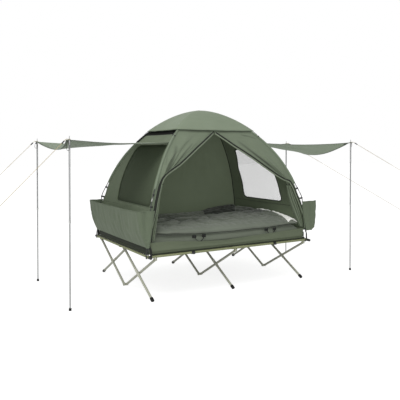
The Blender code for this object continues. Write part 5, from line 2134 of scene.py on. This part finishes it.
def pad(name: str, across: Sequence[float], along: Sequence[float], top: Callable[[float, float], Point],
        under: Callable[[float, float], Point]) -> bpy.types.Object:
    """A closed pad from an upper and a lower surface that meet at its seam.

    Args:
        name: The piece's name.
        across: Values of v, from -1 to 1.
        along: Values of u, from -1 to 1.
        top: Gives a point of the upper face from u and v.
        under: The same for the lower face.

    Returns:
        The piece, with a UV map in metres.
    """
    width, count = len(along), len(across)
    points = [tuple(top(u, v)) for v in across for u in along]
    points += [tuple(under(u, v)) for v in across for u in along]
    low = width * count
    faces = []
    for i in range(count - 1):
        for k in range(width - 1):
            a, b, c, d = i * width + k, i * width + k + 1, (i + 1) * width + k + 1, (i + 1) * width + k
            faces += [(a, b, c, d), (low + d, low + c, low + b, low + a)]
    edge = [k for k in range(width)] + [i * width + width - 1 for i in range(1, count)]
    edge += [(count - 1) * width + k for k in range(width - 2, -1, -1)]
    edge += [i * width for i in range(count - 2, 0, -1)]
    for a, b in zip(edge, edge[1:] + edge[:1]):
        faces.append((b, a, low + a, low + b))
    return mesh_piece(name, points, faces, [points[k][:2] for face in faces for k in face])


def plump(u: float, v: float, long_power: float, cross_power: float) -> float:
    """How full a pad is at a point: 1 over most of it, falling round to 0 at its seam."""
    return math.sqrt(max(0.0, 1 - abs(u) ** long_power) * max(0.0, 1 - abs(v) ** cross_power))


def eased(count: int, tight: float = 1.6) -> list[float]:
    """Values from -1 to 1, closer together near both ends."""
    return [math.copysign(1 - (1 - abs(t)) ** tight, t) for t in spread(-1, 1, count)]


@dataclass
class AirMattress(SubAssembly):
    """The flocked air mattress: six lengthwise tubes, a welded seam round its side, webbing handles."""

    half: tuple[float, float] = (0.905, 0.648)
    low: float = 0.443
    high: float = 0.600
    tubes: int = 6
    seam: float = 0.42
    groove: float = 0.022
    handle_at: tuple[float, float] = (-0.393, 0.490)

    def top(self, u: float, v: float) -> Point:
        """A point on the upper face."""
        full = plump(u, v, 24, 12)
        ridge = abs(math.sin(math.pi * self.tubes * (v + 1) / 2)) ** 0.5
        lift = (self.seam + (1 - self.seam) * full) * (self.high - self.low)
        pull = 1 - 0.010 * (1 - v * v) * abs(u) ** 8
        pucker = crumple((u * 2.2, v * 14, 1), 0.35, 0.0025) * (1 - ridge) * full
        z = self.low + lift - self.groove * (1 - ridge) * full + pucker
        return (self.half[0] * u * pull, self.half[1] * v, z)

    def under(self, u: float, v: float) -> Point:
        """A point on the lower face."""
        drop = self.seam * (1 - min(1.0, 1.6 * plump(u, v, 24, 12))) * (self.high - self.low)
        return (self.half[0] * u * 0.999, self.half[1] * v * 0.999, self.low + drop)

    def build(self) -> None:
        """Makes the mattress and its handles."""
        body = pad("air_bed", eased(150), eased(110, 2.2), self.top, self.under)
        self.put(body, FLOCK, "mattress_flock", nodes=["air_mattress"], soft=True)
        for number, x in enumerate(self.handle_at):
            self.handle(number, x)

    def handle(self, number: int, x: float) -> None:
        """A webbing handle that hangs in a slack loop from two welded patches.

        Args:
            number: Its number.
            x: Its middle along the mattress.
        """
        y = -self.half[1] - 0.0045
        for end, at in enumerate((x - 0.055, x + 0.055)):
            patch = soften(block((0.046, 0.0030, 0.030)), 0.0011, 3)
            pick_faces(patch, lambda middle, normal: normal.y < -0.9)
            bpy.ops.mesh.inset(thickness=0.0035)
            bpy.ops.mesh.extrude_region_move(TRANSFORM_OT_translate={"value": (0, 0.0008, 0)})
            bpy.ops.object.mode_set(mode="OBJECT")
            patch.data.transform(Matrix.Translation((at, y + 0.0015, 0.566)))
            self.put(in_place(patch, f"handle_patch_{number}_{end}"), WEBBING, soft=True)
        loop = smooth_path([(x - 0.055, y - 0.003, 0.570), (x - 0.047, y - 0.009, 0.546),
                            (x - 0.020, y - 0.013, 0.522), (x + 0.016, y - 0.013, 0.520),
                            (x + 0.045, y - 0.009, 0.546), (x + 0.055, y - 0.003, 0.570)], 6)
        self.put(strap(f"mattress_handle_{number}", loop, Vector((0, 1, 0.15)), 0.010, 0.0030), WEBBING,
                 soft=True)


@dataclass
class SleepingBag(SubAssembly):
    """The quilted double sleeping bag, rumpled over the mattress, its pale lining turned back at a corner."""

    centre_x: float = 0.02
    half: tuple[float, float] = (0.860, 0.626)
    low: float = 0.603
    back_drop: float = 0.034
    fall: tuple[tuple[float, float], ...] = (
        (-0.80, 0.004), (-0.645, 0.010), (-0.442, 0.029), (0.0, 0.038), (0.26, 0.033), (0.46, 0.034),
        (0.75, 0.014))
    seam: float = 0.010
    bulge: float = 0.018
    corner: tuple[float, float] = (-0.715, 0.125)
    front: tuple[tuple[float, float], ...] = (
        (-0.84, 0.662), (-0.60, 0.658), (0.0, 0.655), (0.50, 0.652), (0.75, 0.640), (0.88, 0.625))
    crown: tuple[tuple[float, float], ...] = (
        (-0.84, 0.676), (-0.2, 0.674), (0.40, 0.686), (0.70, 0.704), (0.88, 0.730))
    back: tuple[tuple[float, float], ...] = (
        (-0.84, 0.642), (-0.22, 0.636), (0.06, 0.628), (0.36, 0.642), (0.63, 0.690), (0.75, 0.704),
        (0.88, 0.715))
    rows_y: tuple[float, float, float, float] = (-0.58, -0.26, 0.26, 0.60)
    valley: tuple[float, float] = (0.04, 0.020)
    dimple: tuple[float, float] = (0.086, 0.0045)
    hood_corners: tuple[tuple[float, float], ...] = ((0.08, 0.04), (0.50, 0.03), (0.85, 0.56), (0.36, 0.575))

    def floor(self, x: float, y: float) -> float:
        """The height that the bag lies on, which falls over the mattress's rounded sides."""
        over = max(0.0, abs(y) - 0.555) / 0.07
        return self.low - (between(x, self.fall) if y < 0 else self.back_drop) * min(1.0, over) ** 1.5

    def plan(self, u: float, v: float) -> tuple[float, float]:
        """Where a point of the bag lies, with its front left corner rounded."""
        x, y = self.centre_x + self.half[0] * u, self.half[1] * v
        start, radius = self.corner
        past = min(radius, max(0.0, start - x))
        cut = radius - math.sqrt(radius * radius - past * past)
        return x, y * (1 - cut / self.half[1]) if v < 0 else y

    def base(self, x: float, y: float) -> float:
        """The height of the bag's upper face, before its small folds."""
        first, second, third, last = self.rows_y
        heights = [between(x, self.front), between(x, self.crown), between(x, self.crown),
                   between(x, self.back)]
        z = between(y, list(zip((first, second, third, last), heights)))
        middle, depth = self.valley
        return z - depth * math.exp(-(((y - middle - 0.03 * math.sin(4 * x)) / 0.035) ** 2))

    def rumple(self, x: float, y: float) -> float:
        """Small folds and dents: sharp creases between soft swells, deeper at the back left."""
        where = Vector((x, y * 1.2, 0.0))
        warp = Vector((noise.noise(where * 3.1), noise.noise(where * 3.1 + Vector((9, 2, 4))), 0)) * 0.07
        total = 0.0
        for size, depth, shift in ((0.24, 0.022, 1.0), (0.115, 0.015, 5.0), (0.05, 0.005, 8.0)):
            ridge = 1 - abs(noise.noise((where + warp) / size + Vector((shift, 2 * shift, 0)))) * 2.6
            total += depth * (0.30 - max(ridge, 0.0) ** 2)
        heavy = 0.55 + 0.75 * math.exp(-(((x + 0.50) / 0.45) ** 2) - (((y - 0.10) / 0.50) ** 2))
        return total * heavy

    def top(self, u: float, v: float) -> Point:
        """A point on the upper face."""
        x, y = self.plan(u, v)
        full = plump(u, v, 14, 14)
        rest = self.floor(x, y)
        spacing, depth = self.dimple
        near_front = math.exp(-(((y + 0.585) / 0.05) ** 2))
        dent = depth * near_front * (1 - abs(math.sin(math.pi * x / spacing)) ** 0.6)
        quilt = 0.004 * (abs(math.cos(math.pi * x / 0.156)) ** 0.5 - 0.6)
        calm = 1 - 0.7 * near_front
        rise = self.base(x, y) - rest - self.seam + self.rumple(x, y) * calm + quilt - dent
        z = rest + self.seam + full * rise
        out = (1 - full) * crumple((x * 1.2, y * 1.2, 3), 0.11, 0.006)
        swell = self.bulge * math.sin(math.pi * full) * max(0.0, abs(v) - 0.8) / 0.2
        y += math.copysign(swell, v)
        return (x + (out if abs(u) > 0.97 else 0), y + (out if abs(v) > 0.97 else 0), max(z, rest + 0.004))

    def under(self, u: float, v: float) -> Point:
        """A point on the lower face."""
        x, y = self.plan(u, v)
        full = plump(u, v, 14, 14)
        rise = (self.seam - 0.002) * (1 - min(1.0, 1.5 * full))
        out = (1 - full) * crumple((x * 1.2, y * 1.2, 3), 0.11, 0.006)
        return (x + (out if abs(u) > 0.97 else 0), y + (out if abs(v) > 0.97 else 0), self.floor(x, y) + rise)

    def build(self) -> None:
        """Makes the bag, the piping on its seam, its dark hood, partly painted shade, and its turned-back
        lining.
        """
        bag = pad("quilted_bag", eased(130), eased(190, 1.4), self.top, self.under)
        self.shade(bag)
        self.put(bag, QUILT, "quilt", nodes=["sleeping_bag"], soft=True)
        zip_line = []
        for u in spread(-0.97, 0.97, 90):
            x, y, z = self.top(u, -0.9996)
            zip_line.append((x, y - 0.0010, z - 0.001))
        self.put(tube("bag_zip", zip_line, 0.0030, 8), ZIP, "quilt", soft=True)
        self.hood()
        self.lining()

    def shade(self, bag: bpy.types.Object) -> None:
        """Marks where the bag is drawn darker, mostly painted shade: towards its back, in its creases, and in
        the fold and at the open end beside its hood, where its dark inner cloth shows too.
        """
        values = []
        for vertex in bag.data.vertices:
            x, y, _ = vertex.co
            crease = min(1.0, max(0.0, 0.55 - self.rumple(x, y) / 0.018))
            rear = min(1.0, max(0.0, (y + 0.50) / 0.25))
            heap = math.exp(-(((x + 0.55) / 0.34) ** 2) - (((y + 0.02) / 0.34) ** 2))
            open_end = math.exp(-(((x - 0.74) / 0.17) ** 4) - (((y - 0.02) / 0.24) ** 4))
            fold = math.exp(-(((x - 0.58) / 0.17) ** 2) - (((y + 0.04) / 0.20) ** 2))
            values.append(min(1.0, 0.22 * rear + 0.60 * heap * crease + 0.18 * rear * crease + 0.75 * open_end
                              + 0.45 * fold))
        mark_tone(bag, values)

    def over(self, x: float, y: float) -> float:
        """The height of the bag's upper face at a place."""
        u, v = (x - self.centre_x) / self.half[0], y / self.half[1]
        return self.top(max(-0.999, min(0.999, u)), max(-0.999, min(0.999, v)))[2]

    def hood(self) -> None:
        """The dark inner cloth of the back bag's hood, opened out at its head end, laid also as painted shade
        over the bag's back right.
        """
        rows = []
        for v in spread(0, 1, 44):
            row = []
            for u in spread(0, 1, 44):
                weights = ((1 - u) * (1 - v), u * (1 - v), u * v, (1 - u) * v)
                x, y = (sum(w * c[k] for w, c in zip(weights, self.hood_corners)) for k in (0, 1))
                x += crumple((x, y, 4), 0.12, 0.014)
                edge = min(u, 1 - u, v, 1 - v) * 8
                lift = 0.005 + 0.014 * math.sin(math.pi * v) * math.sin(math.pi * u)
                lift += abs(crumple((x * 1.3, y * 2.2, 14), 0.10, 0.016)) * min(1.0, edge)
                row.append((x, y, self.over(x, y) + lift))
            rows.append(row)
        hood = thickened(grid_piece("bag_hood", rows), 0.003, 1.0)
        self.put(hood, HOOD_AND_SHADE, "quilt", soft=True)
        self.cloth(hood, "laid", ["quilted_bag"])

    def lining(self) -> None:
        """The pale inner cloth, folded back over the bag's end and widening towards its front corner."""
        inner = smooth_path([(0.838, 0.06, 0), (0.846, -0.12, 0), (0.842, -0.30, 0), (0.812, -0.46, 0),
                             (0.755, -0.625, 0)], 12)
        widths = smooth_path([(0.008, 0, 0), (0.010, 0, 0), (0.026, 0, 0), (0.078, 0, 0), (0.155, 0, 0)], 12)
        rows = []
        for k, (start, size) in enumerate(zip(inner, widths)):
            row = []
            for u in spread(0, 1, 22):
                x = start.x + size.x * u
                y = start.y + 0.020 * u * (k / len(inner))
                reach = min(x, 0.868)
                lift = 0.006 + (0.010 + 0.12 * size.x) * math.sin(math.pi * u) ** 0.8
                lift += abs(crumple((x * 1.5, y, 6), 0.06, 0.008))
                row.append((x, y, self.over(reach, y) + lift - 0.25 * max(0.0, x - 0.85)))
            rows.append(row)
        lining = thickened(grid_piece("lining_turnback", rows, flip=True), 0.0035, 1.0)
        self.put(lining, LINING, "lining", nodes=["bag_lining"], soft=True)
        self.cloth(lining, "folded", ["quilted_bag"])


# Awnings


@dataclass
class Awnings(SubAssembly):
    """A canopy at each end, hemmed all round, with wrinkles that run into its corners."""

    poles: dict[str, tuple[float, float]] = field(default_factory=dict)
    header_z: float = 1.486
    header_out: float = 0.0065
    header_in: float = 0.010
    pole_z: float = 1.500
    sag: dict[Side, float] = field(default_factory=lambda: {Side.LEFT: 0.085, Side.RIGHT: 0.150})
    hem_draw: float = 0.045
    corner_grow: tuple[float, float] = (0.012, 0.022)
    ripple: float = 0.004
    edge_droop: float = 0.022
    thickness: float = 0.0020
    eyelet: float = 0.0048
    hem: tuple[float, float] = (0.016, 0.0052)
    header: tuple[float, float] = (0.018, 0.0030)

    def corner(self, side: Side, end: str) -> Vector:
        """The place of the pole at a corner."""
        x, y = self.poles[f"{side.word}_{end}"]
        return Vector((x, y, self.pole_z))

    def wrinkle(self, side: Side, x: float, y: float) -> float:
        """Pull folds that fan out from both poles into the cloth."""
        height = 0.0
        for end, phase in (("front", 0.4), ("back", 2.1)):
            pole = self.corner(side, end)
            dx, dy = x - pole.x, y - pole.y
            reach = math.hypot(dx, dy)
            turn = math.atan2(dy, dx * -side.value)
            height += 0.0045 * math.sin(11 * turn + phase) * math.exp(-reach / 0.26) * min(1.0, reach / 0.07)
        return height + crumple((x * 1.1, y * 1.6, side.value), 0.24, 0.006)

    def point(self, side: Side, u: float, v: float, out: float = 0.0) -> Vector:
        """A point on an awning.

        Args:
            side: Which end.
            u: From the tent to the hem.
            v: From front to back.
            out: How far above the cloth.

        Returns:
            The point.
        """
        sign = side.value
        share = TENT.share_at(self.header_z)
        front, back = self.corner(side, "front"), self.corner(side, "back")
        header_x = sign * (share * TENT.corner_x + self.header_out)
        header_y = share * TENT.corner_y - self.header_in
        outer = front.lerp(back, v)
        inside = min(1.0, max(0.0, (v - 0.04) / 0.92))
        hang = 4 * inside * (1 - inside)
        grow_x, grow_y = self.corner_grow
        x = outer.x - sign * self.hem_draw * hang
        x = header_x * (1 - u) + x * u * (1 + grow_x * u * (1 - hang))
        y = header_y * (2 * v - 1) * (1 - u) + outer.y * u * (1 + grow_y * abs(2 * v - 1) ** 6)
        z = self.header_z + (self.pole_z - self.header_z) * u - self.sag[side] * hang * u ** 1.6
        z -= self.edge_droop * math.sin(math.pi * u) * (1 - hang)
        z += self.ripple * math.sin(9 * math.pi * v) * math.sin(math.pi * u) ** 2
        calm = min(1.0, u / 0.08) * min(1.0, hang / 0.12) * (1 - 0.6 * u ** 6)
        return Vector((x, y, z + self.wrinkle(side, x, y) * calm + out))

    def build(self) -> None:
        """Makes both awnings."""
        for side in Side:
            rows = [[self.point(side, u, v) for u in spread(0, 1, 60)] for v in self.across()]
            awning = grid_piece(f"canopy_{side.word}", rows, flip=side is Side.LEFT)
            thickened(awning, self.thickness, 0.0)
            for end in ("front", "back"):
                self.pierce(awning, self.corner(side, end))
            trims = self.hems(side) + self.corners(side)
            # The right awning takes the brighter-glowing copy of the cloth: painted light.
            self.put(awning, CANVAS_AWNING if side is Side.LEFT else CANVAS_LIT, "awning_cloth",
                     nodes=[f"awning_{side.word}"], soft=True)
            self.cloth(awning, "hung", [f"end_panel_{side.word}"], trims)

    @staticmethod
    def across() -> list[float]:
        """Values of v, closer together at the side hems."""
        return [0.0, 0.012, 0.025, *spread(0.04, 0.96, 56), 0.975, 0.988, 1.0]

    def hems(self, side: Side) -> list[bpy.types.Object]:
        """The turned hems along the three free edges and the seam tape at the tent."""
        paths = {
            "front": [self.point(side, u, 0.006) for u in spread(0.01, 0.995, 60)],
            "outer": [self.point(side, 0.992, v) for v in spread(0.005, 0.995, 70)],
            "back": [self.point(side, u, 0.994) for u in spread(0.01, 0.995, 60)],
        }
        made = []
        for name, path in paths.items():
            inward = Vector((0, 1, 0)) if name != "outer" else Vector((1, 0, 0))
            piece = strap(f"canopy_hem_{side.word}_{name}", path, inward, *self.hem)
            made.append(self.put(piece, HEM, "awning_cloth", soft=True))
        header = []
        for v in spread(0.0, 1.0, 30):
            p = self.point(side, 0.0, v)
            header.append(p + Vector((side.value * -0.001, 0, 0.004)))
        tape = strap(f"canopy_header_{side.word}", header, Vector((0, 0, 1)), *self.header)
        made.append(self.put(tape, PIPING, "awning_cloth", soft=True))
        return made

    def corners(self, side: Side) -> list[bpy.types.Object]:
        """A doubled patch at each corner, with a small loop of shock cord."""
        made = []
        for end in ("front", "back"):
            pole = self.corner(side, end)
            v_of = (0.0, 1.0) if end == "front" else (1.0, 0.0)
            rows = []
            for a in spread(0.0, 0.085, 8):
                v = v_of[0] + (v_of[1] - v_of[0]) * a
                rows.append([self.point(side, 1 - b, v, -0.0030)
                             for b in spread(0.0, 0.085 * (1 - a / 0.12), 8)])
            patch = thickened(grid_piece(f"canopy_patch_{side.word}_{end}", rows), 0.0012, 0.0)
            self.pierce(patch, pole)
            made.append(self.put(patch, HEM, "awning_cloth", soft=True))
            line = f"line_{side.word}_{end}"
            for level, rise in (("top", 0.0024), ("under", -0.0062)):
                ring = collar(0.0088, 0.0050, 0.0012, 0.0005, 20)
                ring.data.transform(Matrix.Translation(pole + Vector((0, 0, rise))))
                grommet = in_place(ring, f"eyelet_{level}_{side.word}_{end}")
                self.put(grommet, SPRING_STEEL, body=line)
            self.shock_loop(side, end, pole)
        return made

    def pierce(self, cloth: bpy.types.Object, pole: Vector) -> None:
        """Cuts the hole for a pole's spike in a cloth."""
        drill = rod(self.eyelet, 0.06, 16)
        drill.data.transform(Matrix.Translation(pole))
        cut = cloth.modifiers.new("eyelet", "BOOLEAN")
        cut.operation = "DIFFERENCE"
        cut.object = drill
        cut.solver = "EXACT"
        apply_all(cloth)
        bpy.data.objects.remove(drill)

    def shock_loop(self, side: Side, end: str, pole: Vector) -> None:
        """A loop of black shock cord that hangs beside the pole, with its toggle.

        Args:
            side: Which awning.
            end: front or back.
            pole: The top of the pole, with which it swings.
        """
        carrier = f"pole_{side.word}_{end}"
        drop = {("left", "front"): 0.090, ("left", "back"): 0.065}.get((side.word, end), 0.045)
        out = Vector((side.value * 0.011, 0, 0))
        spots = [pole + out + Vector((0, 0, -0.007))]
        for x, z in ((0.012, -0.25), (0.020, -0.60), (0.010, -0.95), (-0.008, -0.92), (-0.014, -0.55),
                     (-0.006, -0.22)):
            spots.append(pole + out + Vector((x * side.value * 0.5, x, z * drop - 0.006)))
        spots.append(pole + out + Vector((0, -0.002, -0.007)))
        loop = tube(f"shock_loop_{side.word}_{end}", smooth_path(spots, 6), 0.0018, 8)
        self.put(loop, WEBBING, body=carrier)
        toggle = soften(rod(0.0062, 0.014, 14), 0.0016, 3)
        pick_faces(toggle, lambda middle, normal: abs(normal.z) > 0.9)
        bpy.ops.mesh.inset(thickness=0.0020)
        bpy.ops.mesh.extrude_region_move(TRANSFORM_OT_translate={"value": (0, 0, 0)})
        bpy.ops.object.mode_set(mode="OBJECT")
        toggle.data.transform(Matrix.Translation(pole + out + Vector((0, 0, -0.016))))
        self.put(in_place(toggle, f"shock_toggle_{side.word}_{end}"), NYLON, body=carrier)


def main() -> None:
    """Builds every sub-assembly in order."""
    logging.basicConfig(level=logging.INFO, format="%(message)s")
    Studio().build()
    lines = GuyLines()
    lines.build()
    AwningPoles(spots=lines.poles).build()
    BedFrame().build()
    BedCloth().build()
    FloorTray().build()
    ArchPoles().build()
    Walls().build()
    RoofCap().build()
    Pockets().build()
    Curtains().build()
    AirMattress().build()
    SleepingBag().build()
    Awnings(poles=lines.poles).build()


if __name__ == "__main__":
    main()
